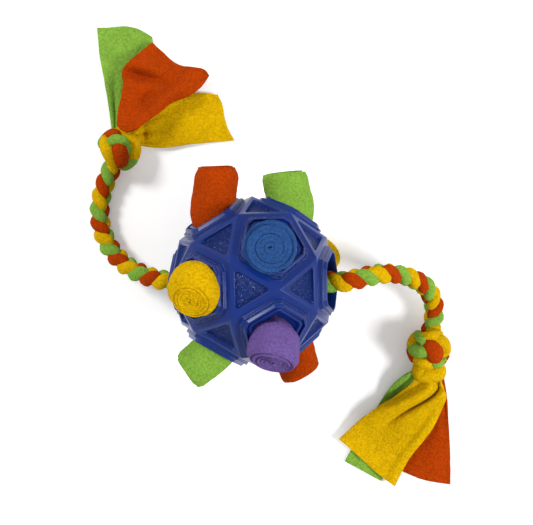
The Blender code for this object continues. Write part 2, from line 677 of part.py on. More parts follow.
def build_tail(name, axes, carriers):
    """A loose strip end: gathered at its knot, spread and folded over the floor."""
    knot, heading, turn, length, width, over, spread, finish = TAILS[name]
    side = 1 if knot == "right" else -1
    centre = knot_centre(side, axes)
    start_angle = math.radians(heading)
    neck_low = HIGH_NECK_HEIGHT if over else LOW_NECK_HEIGHT
    start_reach = knot_reach(neck_low, neck_low + NECK_THICKNESS) + FIT_GAP
    place = centre + Vector((math.cos(start_angle), math.sin(start_angle), 0.0)) * start_reach
    base = TOP_LAYER_HEIGHT if over else 0.0
    neck_height = neck_low - base
    landing = HIGH_LANDING_SHARE if over else LOW_LANDING_SHARE
    bm = bmesh.new()
    rows = []
    for row in range(TAIL_ROWS + 1):
        share = row / TAIL_ROWS
        angle = start_angle + math.radians(turn) * share
        forward = Vector((math.cos(angle), math.sin(angle), 0.0))
        if row:
            place = place + forward * (length / TAIL_ROWS)
        across = Vector((-forward.y, forward.x, 0.0))
        half = (NECK_WIDTH + (width - NECK_WIDTH) * ease(share / spread)) / 2.0
        thick = CLOTH_THICKNESS + (NECK_THICKNESS - CLOTH_THICKNESS) * (1.0 - ease(share / landing))
        rise = base + neck_height * (1.0 - ease(share / landing))
        fold = FOLD_HEIGHT * ease(share) if over else 0.0
        lower = []
        upper = []
        for column in range(TAIL_COLUMNS + 1):
            u = 2.0 * column / TAIL_COLUMNS - 1.0
            lift = rise + fold * (0.5 - 0.5 * math.cos(2.0 * math.pi * u)) * (1.0 if u > 0 else 0.5)
            spot = Vector((place.x, place.y, 0.0)) + across * (u * half)
            lower.append(bm.verts.new((spot.x, spot.y, lift)))
            upper.append(bm.verts.new((spot.x, spot.y, lift + thick)))
        rows.append((lower, upper))
    for (low, high), (next_low, next_high) in zip(rows, rows[1:]):
        for column in range(TAIL_COLUMNS):
            after = column + 1
            bm.faces.new((low[column], low[after], next_low[after], next_low[column]))
            bm.faces.new((high[column], next_high[column], next_high[after], high[after]))
        bm.faces.new((low[0], next_low[0], next_high[0], high[0]))
        bm.faces.new((low[-1], high[-1], next_high[-1], next_low[-1]))
    for low, high in (rows[0], rows[-1]):
        for column in range(TAIL_COLUMNS):
            bm.faces.new((low[column], low[column + 1], high[column + 1], high[column]))
    return add_node(name, bm, finish, centre, carriers[knot])


def build_rope(axes, carriers):
    """The rope's middle inside the ball, its two free stretches and their knots."""
    half = PIVOT_REACH - ROPE_DIAMETER / 2.0 - FIT_GAP
    route = [ball_centre() + axes["rope+"] * (half * share) for share in (-1.0, 1.0)]
    bm = bmesh.new()
    add_tube(bm, route, ROPE_DIAMETER / 2.0)
    add_node("rope_core", bm, FLEECE_GREEN, ball_centre(), carriers["rope"])
    for knot, side in (("left", -1), ("right", 1)):
        build_rope_end("rope_" + knot, side, axes, carriers[knot])
        build_knot("knot_" + knot, side, axes, carriers[knot])


def main():
    """Build the toy."""
    clear_scene()
    axes = hole_axes()
    carriers = {colour: add_carrier(colour + "_strip_slide", ball_centre()) for colour in RING_ANGLES}
    carriers["rope"] = add_carrier("rope_slide", ball_centre())
    for knot, side in (("left", -1), ("right", 1)):
        pivot = ball_centre() + axes["rope+"] * (side * PIVOT_REACH)
        carriers[knot] = add_carrier("rope_" + knot + "_swing", pivot)
    build_ball(axes)
    for name in ROLLS:
        build_roll(name, axes, carriers)
    for colour in RING_ANGLES:
        build_link(colour, axes, carriers)
    build_rope(axes, carriers)
    for name in TAILS:
        build_tail(name, axes, carriers)
    print("least gap between turns of a roll: %.2f mm" % (least_wrap_gap() / MM))


if __name__ == "__main__":
    main()
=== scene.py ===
"""Looks of the dog snuffle ball: moulded rubber ball, rolled fleece strips, plaited fleece rope.

Metres, +Z up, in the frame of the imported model. The camera looks straight down on the toy.
"""
import json
import logging
import math
from dataclasses import dataclass
from enum import Enum
from functools import cache
from typing import Callable, Sequence

import bpy
from mathutils import Matrix, Vector, noise

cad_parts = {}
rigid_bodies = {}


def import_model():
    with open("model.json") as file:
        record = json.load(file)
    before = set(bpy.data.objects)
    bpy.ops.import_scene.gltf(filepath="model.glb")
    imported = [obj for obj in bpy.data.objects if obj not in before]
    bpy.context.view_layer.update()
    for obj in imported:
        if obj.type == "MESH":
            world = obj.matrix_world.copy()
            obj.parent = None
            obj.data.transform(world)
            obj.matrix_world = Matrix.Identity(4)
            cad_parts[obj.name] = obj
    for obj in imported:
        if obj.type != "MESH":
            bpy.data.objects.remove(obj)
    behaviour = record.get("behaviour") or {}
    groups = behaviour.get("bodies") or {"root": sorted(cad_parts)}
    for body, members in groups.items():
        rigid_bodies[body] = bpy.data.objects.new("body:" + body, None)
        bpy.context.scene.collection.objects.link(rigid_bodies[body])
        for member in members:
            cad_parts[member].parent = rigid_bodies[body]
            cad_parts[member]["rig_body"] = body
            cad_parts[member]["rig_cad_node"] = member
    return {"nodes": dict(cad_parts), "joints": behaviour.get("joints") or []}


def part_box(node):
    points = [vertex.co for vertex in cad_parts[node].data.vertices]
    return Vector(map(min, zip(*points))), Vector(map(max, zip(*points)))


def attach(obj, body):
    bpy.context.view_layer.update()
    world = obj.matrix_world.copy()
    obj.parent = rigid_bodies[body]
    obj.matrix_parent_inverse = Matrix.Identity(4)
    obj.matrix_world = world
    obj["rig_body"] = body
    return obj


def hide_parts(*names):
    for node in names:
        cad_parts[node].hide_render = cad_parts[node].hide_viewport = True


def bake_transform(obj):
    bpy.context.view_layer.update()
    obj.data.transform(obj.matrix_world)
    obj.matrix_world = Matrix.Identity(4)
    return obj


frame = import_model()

LOG = logging.getLogger("snuffle_ball")
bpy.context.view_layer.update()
MM = 0.001

Grid = list[list[Vector]]
Colour = tuple[float, float, float]
Face = tuple[int, ...]

WHITE = (1.0, 1.0, 1.0)

# Fineness of curves and of the rounding of cut edges
CURVE_SAMPLES = 24
EDGE_STEPS = 2
EDGE_ANGLE = math.radians(50.0)

# Camera of the photograph, straight above the toy
IMAGE_WIDTH_PX = 533.0
IMAGE_CENTRE_PX = (266.5, 262.5)
FOCAL_PX = 1002.0
SENSOR_WIDTH_MM = 36.0
CAMERA_HEIGHT = 711.0 * MM         # above the floor
CAMERA_ASIDE_X = 8.27 * MM         # camera axis from the ball's centre
CAMERA_ASIDE_Y = 12.14 * MM

# Rope's route in mm, the same points as the solid's: in plan from the ball's centre, in height from the floor
ROPE_LEFT_ROUTE = [
    (-70.0, 2.4, 38.5), (-87.0, 9.6, 23.5), (-100.0, 21.4, 12.6), (-107.2, 35.6, 8.0),
    (-108.8, 50.0, 7.2), (-106.0, 64.5, 7.6), (-100.9, 76.6, 9.2),
]
ROPE_RIGHT_ROUTE = [
    (64.5, 1.6, 78.6), (79.5, 4.6, 71.5), (93.0, 4.6, 57.5), (106.0, 1.4, 40.5),
    (118.0, -5.2, 24.0), (124.6, -16.0, 12.4), (125.4, -26.0, 9.0), (123.8, -32.2, 9.4),
]


@cache
def ball_centre() -> Vector:
    """Middle of the ball, from the solid's box."""
    low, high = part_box("ball_shell")
    return (low + high) / 2.0


def joint_axis(name: str) -> Vector:
    """Axis of a joint of the frame.

    Args:
        name: The joint's name.

    Returns:
        The axis as a unit vector.
    """
    for joint in frame["joints"]:
        if joint["name"] == name:
            return Vector(joint["axis"]).normalized()
    raise ValueError(name)


class Side(Enum):
    """The two sides of the ball that the rope comes out of."""

    LEFT = -1
    RIGHT = 1

    @property
    def word(self) -> str:
        """The side's name, as the solids and the bodies have it."""
        return self.name.lower()

    @property
    def body(self) -> str:
        """The body of the rope's free end on this side."""
        return "rope_" + self.word + "_end"

    def axis(self) -> Vector:
        """Direction in which the rope leaves the ball on this side."""
        return joint_axis("rope_slide") * self.value


class Strip(Enum):
    """The five rolled strips, by colour."""

    BLUE = "blue"
    PURPLE = "purple"
    YELLOW = "yellow"
    ORANGE = "orange"
    GREEN = "green"

    @property
    def body(self) -> str:
        """The body that the strip rides on."""
        return self.value + "_strip"

    @property
    def slot(self) -> str:
        """The slot of the strip's fleece."""
        return "fleece_" + self.value

    def axis(self) -> Vector:
        """Direction of the strip's slide through the ball."""
        return joint_axis(self.value + "_strip_slide")


def photo_place(u: float, v: float, height: float) -> Vector:
    """World place that the photograph shows at a pixel.

    Args:
        u: Pixel column.
        v: Pixel row.
        height: Height of the place above the floor, in metres.

    Returns:
        The place.
    """
    centre = ball_centre()
    scale = (CAMERA_HEIGHT - height) / FOCAL_PX
    return Vector((centre.x + CAMERA_ASIDE_X + (u - IMAGE_CENTRE_PX[0]) * scale,
                   centre.y + CAMERA_ASIDE_Y + (IMAGE_CENTRE_PX[1] - v) * scale, height))


def ease(share: float) -> float:
    """Smooth step from 0 to 1."""
    share = min(1.0, max(0.0, share))
    return share * share * (3.0 - 2.0 * share)


def hump(value: float, middle: float, width: float) -> float:
    """A rounded bump of height 1 round a middle value."""
    return math.exp(-((value - middle) / width) ** 2)


def curve_point(points: Sequence[Vector], run: float) -> Vector:
    """Point on the smooth curve through chosen points.

    Args:
        points: The points to pass through.
        run: Place on the curve, where 0 is the first point, 1 the second, and so on.

    Returns:
        The point.
    """
    index = min(int(run), len(points) - 2)
    t = run - index
    here, after = points[index], points[index + 1]
    before = points[index - 1] if index > 0 else here * 2.0 - after
    beyond = points[index + 2] if index + 2 < len(points) else after * 2.0 - here
    return 0.5 * (2.0 * here + (after - before) * t
                  + (2.0 * before - 5.0 * here + 4.0 * after - beyond) * t ** 2
                  + (3.0 * here - before - 3.0 * after + beyond) * t ** 3)


def resample(points: Sequence[Vector], count: int) -> list[Vector]:
    """Points on a smooth curve through chosen points, count steps with as many between each two."""
    return [curve_point(points, (len(points) - 1) * step / count) for step in range(count + 1)]


def smooth_line(points: Sequence[Vector], spacing: float) -> list[Vector]:
    """Evenly spaced points on a smooth curve through chosen points.

    Args:
        points: The points to pass through.
        spacing: Wanted distance between the returned points, in metres.

    Returns:
        The points along the curve, ends included.
    """
    fine = [curve_point(points, index + step / CURVE_SAMPLES)
            for index in range(len(points) - 1) for step in range(CURVE_SAMPLES)]
    fine.append(points[-1].copy())
    lengths = [0.0]
    for first, second in zip(fine, fine[1:]):
        lengths.append(lengths[-1] + (second - first).length)
    count = max(2, round(lengths[-1] / spacing))
    result: list[Vector] = []
    cursor = 0
    for index in range(count + 1):
        wanted = lengths[-1] * index / count
        while cursor < len(lengths) - 2 and lengths[cursor + 1] < wanted:
            cursor += 1
        share = (wanted - lengths[cursor]) / max(lengths[cursor + 1] - lengths[cursor], 1e-9)
        result.append(fine[cursor].lerp(fine[cursor + 1], share))
    return result


def directions(points: Sequence[Vector]) -> list[Vector]:
    """Unit directions of a line at each of its points."""
    return [(after - before).normalized()
            for before, after in zip([points[0], *points[:-1]], [*points[1:], points[-1]])]


def across_line(direction: Vector, forward: Vector) -> Vector:
    """The part of a direction that is square to a line, as a unit vector."""
    return (direction - forward * forward.dot(direction)).normalized()


def add_mesh(name: str, vertices: Sequence[Vector], faces: Sequence[Sequence[int]]) -> bpy.types.Object:
    """Make an object from vertices and faces, at the origin.

    Args:
        name: The object's name.
        vertices: Places in the frame.
        faces: Vertex numbers of each face.

    Returns:
        The object.
    """
    mesh = bpy.data.meshes.new(name)
    mesh.from_pydata([tuple(vertex) for vertex in vertices], [], [tuple(face) for face in faces])
    mesh.validate()
    piece = bpy.data.objects.new(name, mesh)
    bpy.context.scene.collection.objects.link(piece)
    return piece


def select_only(piece: bpy.types.Object) -> None:
    """Deselect everything, then select a piece and make it active.

    Args:
        piece: The piece.
    """
    bpy.ops.object.select_all(action="DESELECT")
    piece.select_set(True)
    bpy.context.view_layer.objects.active = piece


def apply_all(piece: bpy.types.Object) -> None:
    """Apply a piece's modifiers in order.

    Args:
        piece: The piece.
    """
    select_only(piece)
    for modifier in list(piece.modifiers):
        bpy.ops.object.modifier_apply(modifier=modifier.name)


def recalculate(piece: bpy.types.Object) -> None:
    """Turn a closed piece's faces outwards, and leave it selected.

    Args:
        piece: The piece.
    """
    select_only(piece)
    bpy.ops.object.mode_set(mode="EDIT")
    bpy.ops.mesh.select_all(action="SELECT")
    bpy.ops.mesh.normals_make_consistent(inside=False)
    bpy.ops.object.mode_set(mode="OBJECT")


def join_all(piece: bpy.types.Object, others: Sequence[bpy.types.Object]) -> None:
    """Join other pieces to a piece.

    Args:
        piece: The piece that stays.
        others: The pieces that become part of it.
    """
    select_only(piece)
    for other in others:
        other.select_set(True)
    bpy.ops.object.join()


def declare(piece: bpy.types.Object, body: str, node: str) -> None:
    """Tell the frame what a piece is.

    Args:
        piece: The piece.
        body: The body that it rides on.
        node: The solid that it shows.
    """
    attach(piece, body)
    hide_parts(node)


def colour_faces(piece: bpy.types.Object, colours: Sequence[int]) -> None:
    """Give a plaited piece its three fleeces.

    Args:
        piece: The piece.
        colours: Each face's place in PLAIT_COLOURS.
    """
    for colour in PLAIT_COLOURS:
        piece.data.materials.append(FLEECE[colour].material())
    piece.data.polygons.foreach_set("material_index", colours)


def sheet_piece(name: str, grid: Grid, thickness: float, edge: float) -> bpy.types.Object:
    """A piece of cloth from a grid of places on its middle surface.

    Args:
        name: The piece's name.
        grid: Rows of places.
        thickness: The cloth's thickness, in metres.
        edge: Width of the rounding of its cut edges, in metres.

    Returns:
        The closed piece.
    """
    columns = len(grid[0])
    vertices = [place for row in grid for place in row]
    faces = [(row * columns + column, row * columns + column + 1,
              (row + 1) * columns + column + 1, (row + 1) * columns + column)
             for row in range(len(grid) - 1) for column in range(columns - 1)]
    piece = add_mesh(name, vertices, faces)
    solidify = piece.modifiers.new("thickness", "SOLIDIFY")
    solidify.thickness = thickness
    solidify.offset = 0.0
    bevel = piece.modifiers.new("soft_edge", "BEVEL")
    bevel.width = edge
    bevel.segments = EDGE_STEPS
    bevel.limit_method = "ANGLE"
    bevel.angle_limit = EDGE_ANGLE
    apply_all(piece)
    recalculate(piece)
    bpy.ops.object.shade_smooth()
    return piece


def tube_faces(rings: int, sides: int, start: int) -> list[Face]:
    """Faces of a capped tube.

    Args:
        rings: Number of rings.
        sides: Vertices in a ring.
        start: Number of the first vertex.

    Returns:
        The faces, caps included.
    """
    faces: list[Face] = []
    for ring in range(rings - 1):
        low = start + ring * sides
        for index in range(sides):
            after = (index + 1) % sides
            faces.append((low + index, low + after, low + sides + after, low + sides + index))
    faces.append(tuple(start + index for index in reversed(range(sides))))
    last = start + (rings - 1) * sides
    faces.append(tuple(last + index for index in range(sides)))
    return faces


def ruffle(place: Vector, outward: Vector, size: float, height: float) -> Vector:
    """Push a place in or out by up to a height, in ruffles of a size, as the pile of fleece does."""
    return place + outward * (noise.noise(place / size) * height)


def object_place(tree: bpy.types.NodeTree) -> bpy.types.NodeSocket:
    """Add the output that tells where on the piece a pattern is."""
    return tree.nodes.new("ShaderNodeTexCoord").outputs["Object"]


def add_noise(tree: bpy.types.NodeTree, size: float, detail: float) -> bpy.types.NodeSocket:
    """Add a cloudy pattern that stays with the piece.

    Args:
        tree: The material's node tree.
        size: Size of the pattern's patches, in metres.
        detail: How many finer patterns lie over it.

    Returns:
        The pattern's output, about 0.5 on average.
    """
    pattern = tree.nodes.new("ShaderNodeTexNoise")
    pattern.inputs["Scale"].default_value = 1.0 / size
    pattern.inputs["Detail"].default_value = detail
    tree.links.new(object_place(tree), pattern.inputs["Vector"])
    return pattern.outputs["Fac"]


def add_ramp(tree: bpy.types.NodeTree, pattern: bpy.types.NodeSocket, low: tuple[float, Colour],
             high: tuple[float, Colour]) -> bpy.types.NodeSocket:
    """Add a blend between two colours.

    Args:
        tree: The material's node tree.
        pattern: What drives the blend.
        low: The pattern's value at the first colour, and that colour.
        high: The same at the second colour.

    Returns:
        The blended colour.
    """
    ramp = tree.nodes.new("ShaderNodeValToRGB")
    for element, (position, colour) in zip(ramp.color_ramp.elements, (low, high)):
        element.position = position
        element.color = (*colour, 1.0)
    tree.links.new(pattern, ramp.inputs["Fac"])
    return ramp.outputs["Color"]


def shaded(colour: Colour, share: float) -> Colour:
    """A colour made darker or lighter."""
    return colour[0] * share, colour[1] * share, colour[2] * share


@dataclass(frozen=True)
class Finish:
    """A finish with a name and a colour, made into a material once."""

    name: str
    colour: Colour

    def material(self) -> bpy.types.Material:
        """The finish as a material.

        Returns:
            The material, made at the first call.
        """
        found = bpy.data.materials.get(self.name)
        if found:
            return found
        material = bpy.data.materials.new(self.name)
        material.use_nodes = True
        self.dress(material.node_tree, material.node_tree.nodes["Principled BSDF"].inputs)
        return material

    def dress(self, tree: bpy.types.NodeTree, inputs: bpy.types.NodeInputs) -> None:
        """Fill a new material's nodes, which each kind of finish does in its own way."""
        raise NotImplementedError

    @staticmethod
    def add_bump(tree: bpy.types.NodeTree, height: bpy.types.NodeSocket, depth: float, strength: float,
                 inputs: bpy.types.NodeInputs) -> None:
        """Add fine relief.

        Args:
            tree: The material's node tree.
            height: The relief's pattern.
            depth: Its depth in metres.
            strength: Its strength, from 0 to 1.
            inputs: The shader's inputs.
        """
        bump = tree.nodes.new("ShaderNodeBump")
        bump.inputs["Strength"].default_value = strength
        bump.inputs["Distance"].default_value = depth
        tree.links.new(height, bump.inputs["Height"])
        tree.links.new(bump.outputs["Normal"], inputs["Normal"])


@dataclass(frozen=True)
class FleeceFinish(Finish):
    """Brushed fleece: a soft pebbly pile in one colour, with painted shade darkening the pile's hollows."""

    hollow_painted_shade: float = 0.70          # painted shade: colour in the hollows of the pile, as a share of the colour
    hollow_level: float = 0.33         # pattern's value in the hollows
    top_level: float = 0.62            # and on the tufts
    pile_size: float = 1.6 * MM
    pile_depth: float = 1.6 * MM
    pile_detail: float = 3.0
    pile_roughness: float = 0.6
    pile_strength: float = 1.0
    fibre_size: float = 0.40 * MM
    fibre_share: float = 0.35          # fibres' relief, as a share of the pile's
    wear_size: float = 14.4 * MM       # broad patches of pressed pile
    wear_shade: float = 0.72
    wear_low: float = 0.3
    wear_high: float = 0.7
    wear_share: float = 0.35
    fine_detail: float = 2.0
    roughness: float = 0.95
    gloss: float = 0.04

    def dress(self, tree: bpy.types.NodeTree, inputs: bpy.types.NodeInputs) -> None:
        """Fill a new material's nodes.

        Args:
            tree: The material's node tree.
            inputs: Its shader's inputs.
        """
        inputs["Roughness"].default_value = self.roughness
        inputs["Specular IOR Level"].default_value = self.gloss
        pile = add_noise(tree, self.pile_size, self.pile_detail)
        pile.node.inputs["Roughness"].default_value = self.pile_roughness
        # painted shade: the colour darkens towards the pile's hollows, where the bump sinks
        colour = add_ramp(tree, pile, (self.hollow_level, shaded(self.colour, self.hollow_painted_shade)),
                          (self.top_level, self.colour))
        wear = add_ramp(tree, add_noise(tree, self.wear_size, self.fine_detail),
                        (self.wear_low, shaded(WHITE, self.wear_shade)), (self.wear_high, WHITE))
        mix = tree.nodes.new("ShaderNodeMix")
        mix.data_type = "RGBA"
        mix.blend_type = "MULTIPLY"
        mix.inputs["Factor"].default_value = self.wear_share
        tree.links.new(colour, mix.inputs[6])      # the mix node's colour sockets, whose names it repeats
        tree.links.new(wear, mix.inputs[7])
        tree.links.new(mix.outputs[2], inputs["Base Color"])
        height = tree.nodes.new("ShaderNodeMath")
        height.operation = "MULTIPLY_ADD"
        height.inputs[1].default_value = self.fibre_share
        tree.links.new(add_noise(tree, self.fibre_size, self.fine_detail), height.inputs[0])
        tree.links.new(pile, height.inputs[2])
        self.add_bump(tree, height.outputs["Value"], self.pile_depth, self.pile_strength, inputs)


@dataclass(frozen=True)
class RubberFinish(Finish):
    """Moulded rubber with a satin gloss, smooth or with a leather grain."""

    grain_size: float
    grain_depth: float
    grain_strength: float = 0.8
    roughness: float = 0.28
    gloss: float = 0.22
    cloud_size: float = 14.0 * MM      # broad patches of duller rubber
    cloud_detail: float = 4.0
    dark_share: float = 0.82
    light_share: float = 1.15
    duller: tuple[float, float] = (-0.06, 0.08)    # roughness of the patches, off the finish's own

    def dress(self, tree: bpy.types.NodeTree, inputs: bpy.types.NodeInputs) -> None:
        """Fill a new material's nodes.

        Args:
            tree: The material's node tree.
            inputs: Its shader's inputs.
        """
        inputs["Specular IOR Level"].default_value = self.gloss
        cloud = add_noise(tree, self.cloud_size, self.cloud_detail)
        colour = add_ramp(tree, cloud, (0.0, shaded(self.colour, self.dark_share)),
                          (1.0, shaded(self.colour, self.light_share)))
        tree.links.new(colour, inputs["Base Color"])
        dull = tree.nodes.new("ShaderNodeMapRange")
        dull.inputs["To Min"].default_value = self.roughness + self.duller[0]
        dull.inputs["To Max"].default_value = self.roughness + self.duller[1]
        tree.links.new(cloud, dull.inputs["Value"])
        tree.links.new(dull.outputs["Result"], inputs["Roughness"])
        cell = tree.nodes.new("ShaderNodeTexVoronoi")
        cell.feature = "DISTANCE_TO_EDGE"
        cell.inputs["Scale"].default_value = 1.0 / self.grain_size
        tree.links.new(object_place(tree), cell.inputs["Vector"])
        self.add_bump(tree, cell.outputs["Distance"], self.grain_depth, self.grain_strength, inputs)


FLEECE = {
    Strip.BLUE: FleeceFinish("fleece_light_blue", (0.029, 0.094, 0.290)),
    Strip.PURPLE: FleeceFinish("fleece_violet", (0.182, 0.108, 0.358)),
    Strip.YELLOW: FleeceFinish("fleece_sun_yellow", (0.800, 0.475, 0.001)),
    Strip.ORANGE: FleeceFinish("fleece_warm_orange", (0.500, 0.054, 0.001)),
    Strip.GREEN: FleeceFinish("fleece_lime_green", (0.252, 0.484, 0.058)),
}
SMOOTH_RUBBER = RubberFinish("rubber_smooth_blue", (0.002, 0.018, 0.142), 0.5 * MM, 0.02 * MM)
GRAINED_RUBBER = RubberFinish("rubber_grained_blue", (0.002, 0.016, 0.118), 1.1 * MM, 1.3 * MM)
PLAIT_COLOURS = (Strip.GREEN, Strip.ORANGE, Strip.YELLOW)


@dataclass
class RubberBall:
    """The moulded ball: ridged holes and sunk triangles, with rounded edges."""

    triangle_floor: float = 49.2 * MM      # centre to the floor of a sunk triangle
    floor_slack: float = 0.25 * MM
    merge_gap: float = 0.02 * MM
    same_hole: float = 0.9                 # cosine over which two axes belong to one hole
    flat_angle: float = math.radians(1.0)  # below which neighbouring faces become one
    shade_angle: float = math.radians(40.0)
    ridge_rounding: float = 0.60 * MM
    rounding_steps: int = 3
    sharp_angle: float = math.radians(18.0)
    collar_cut: float = 1.6 * MM           # shortening of the collars' corners
    collar: tuple[tuple[float, float], ...] = (    # their section: apothem and height over the centre
        (16.9 * MM, 45.0 * MM), (16.9 * MM, 50.2 * MM), (15.3 * MM, 50.0 * MM), (14.7 * MM, 51.3 * MM),
        (13.4 * MM, 51.3 * MM), (12.2 * MM, 49.0 * MM), (9.0 * MM, 48.0 * MM), (9.0 * MM, 45.5 * MM))

    def add_collars(self, ball: bpy.types.Object) -> None:
        """Join the stepped collar of each roll's hole to the ball.

        Args:
            ball: The ball.
        """
        holes = [strip.axis() * hand for strip in Strip for hand in (1, -1)]
        everywhere = holes + [side.axis() for side in Side]
        join_all(ball, [self.build_collar(hole, everywhere) for hole in holes])

    def build_collar(self, axis: Vector, holes: Sequence[Vector]) -> bpy.types.Object:
        """Model the stepped collar inside one hole.

        Args:
            axis: The hole's axis, outwards.
            holes: The axes of all the ball's holes.

        Returns:
            The collar, a closed ring.
        """
        centre = ball_centre()
        side = axis.orthogonal().normalized()
        up = axis.cross(side)
        rays = [across_line(other, axis) for other in holes if 0.0 < axis.dot(other) < self.same_hole]
        rays.sort(key=lambda ray: math.atan2(ray.dot(up), ray.dot(side)))
        vertices: list[Vector] = []
        for apothem, height in self.collar:
            reach = apothem / math.cos(math.pi / len(rays))
            corners = [centre + axis * height + ray * reach for ray in rays]
            for index, corner in enumerate(corners):
                for other in (corners[index - 1], corners[(index + 1) % len(corners)]):
                    vertices.append(corner + (other - corner).normalized() * self.collar_cut)
        around = 2 * len(rays)
        walls = tube_faces(len(self.collar) + 1, around, 0)[:-2]    # without caps, last ring on the first
        faces = [tuple(index % len(vertices) for index in face) for face in walls]
        collar = add_mesh("collar", vertices, faces)
        collar.data.materials.append(SMOOTH_RUBBER.material())
        recalculate(collar)
        return collar

    def build(self) -> bpy.types.Object:
        """Model the ball round its solid.

        Returns:
            The ball.
        """
        solid = frame["nodes"]["ball_shell"]
        select_only(solid)
        bpy.ops.object.duplicate()
        ball = bpy.context.view_layer.objects.active
        ball.name = "rubber_ball"
        ball.parent = None
        for key in ("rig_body", "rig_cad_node"):     # the copy is a piece of the scene, and no solid
            if key in ball:
                del ball[key]
        ball.data.materials.clear()
        ball.data.materials.append(SMOOTH_RUBBER.material())
        ball.data.materials.append(GRAINED_RUBBER.material())
        select_only(ball)
        bpy.ops.object.mode_set(mode="EDIT")
        bpy.ops.mesh.select_all(action="SELECT")
        bpy.ops.mesh.remove_doubles(threshold=self.merge_gap)
        bpy.ops.mesh.dissolve_limited(angle_limit=self.flat_angle)
        bpy.ops.mesh.normals_make_consistent(inside=False)
        bpy.ops.object.mode_set(mode="OBJECT")
        self.mark_floors(ball)
        self.add_collars(ball)
        bevel = ball.modifiers.new("rounding", "BEVEL")
        bevel.width = self.ridge_rounding
        bevel.segments = self.rounding_steps
        bevel.limit_method = "ANGLE"
        bevel.angle_limit = self.sharp_angle
        bevel.use_clamp_overlap = True
        apply_all(ball)
        bpy.ops.object.shade_smooth_by_angle(angle=self.shade_angle)
        declare(ball, "ball", "ball_shell")
        return ball

    def mark_floors(self, ball: bpy.types.Object) -> None:
        """Give the floors of the sunk triangles the grained finish.

        Args:
            ball: The ball.
        """
        centre = ball_centre()
        for face in ball.data.polygons:
            away = face.center - centre
            height = away.dot(face.normal)
            level = abs(height - self.triangle_floor) < self.floor_slack
            face.material_index = 1 if level else 0


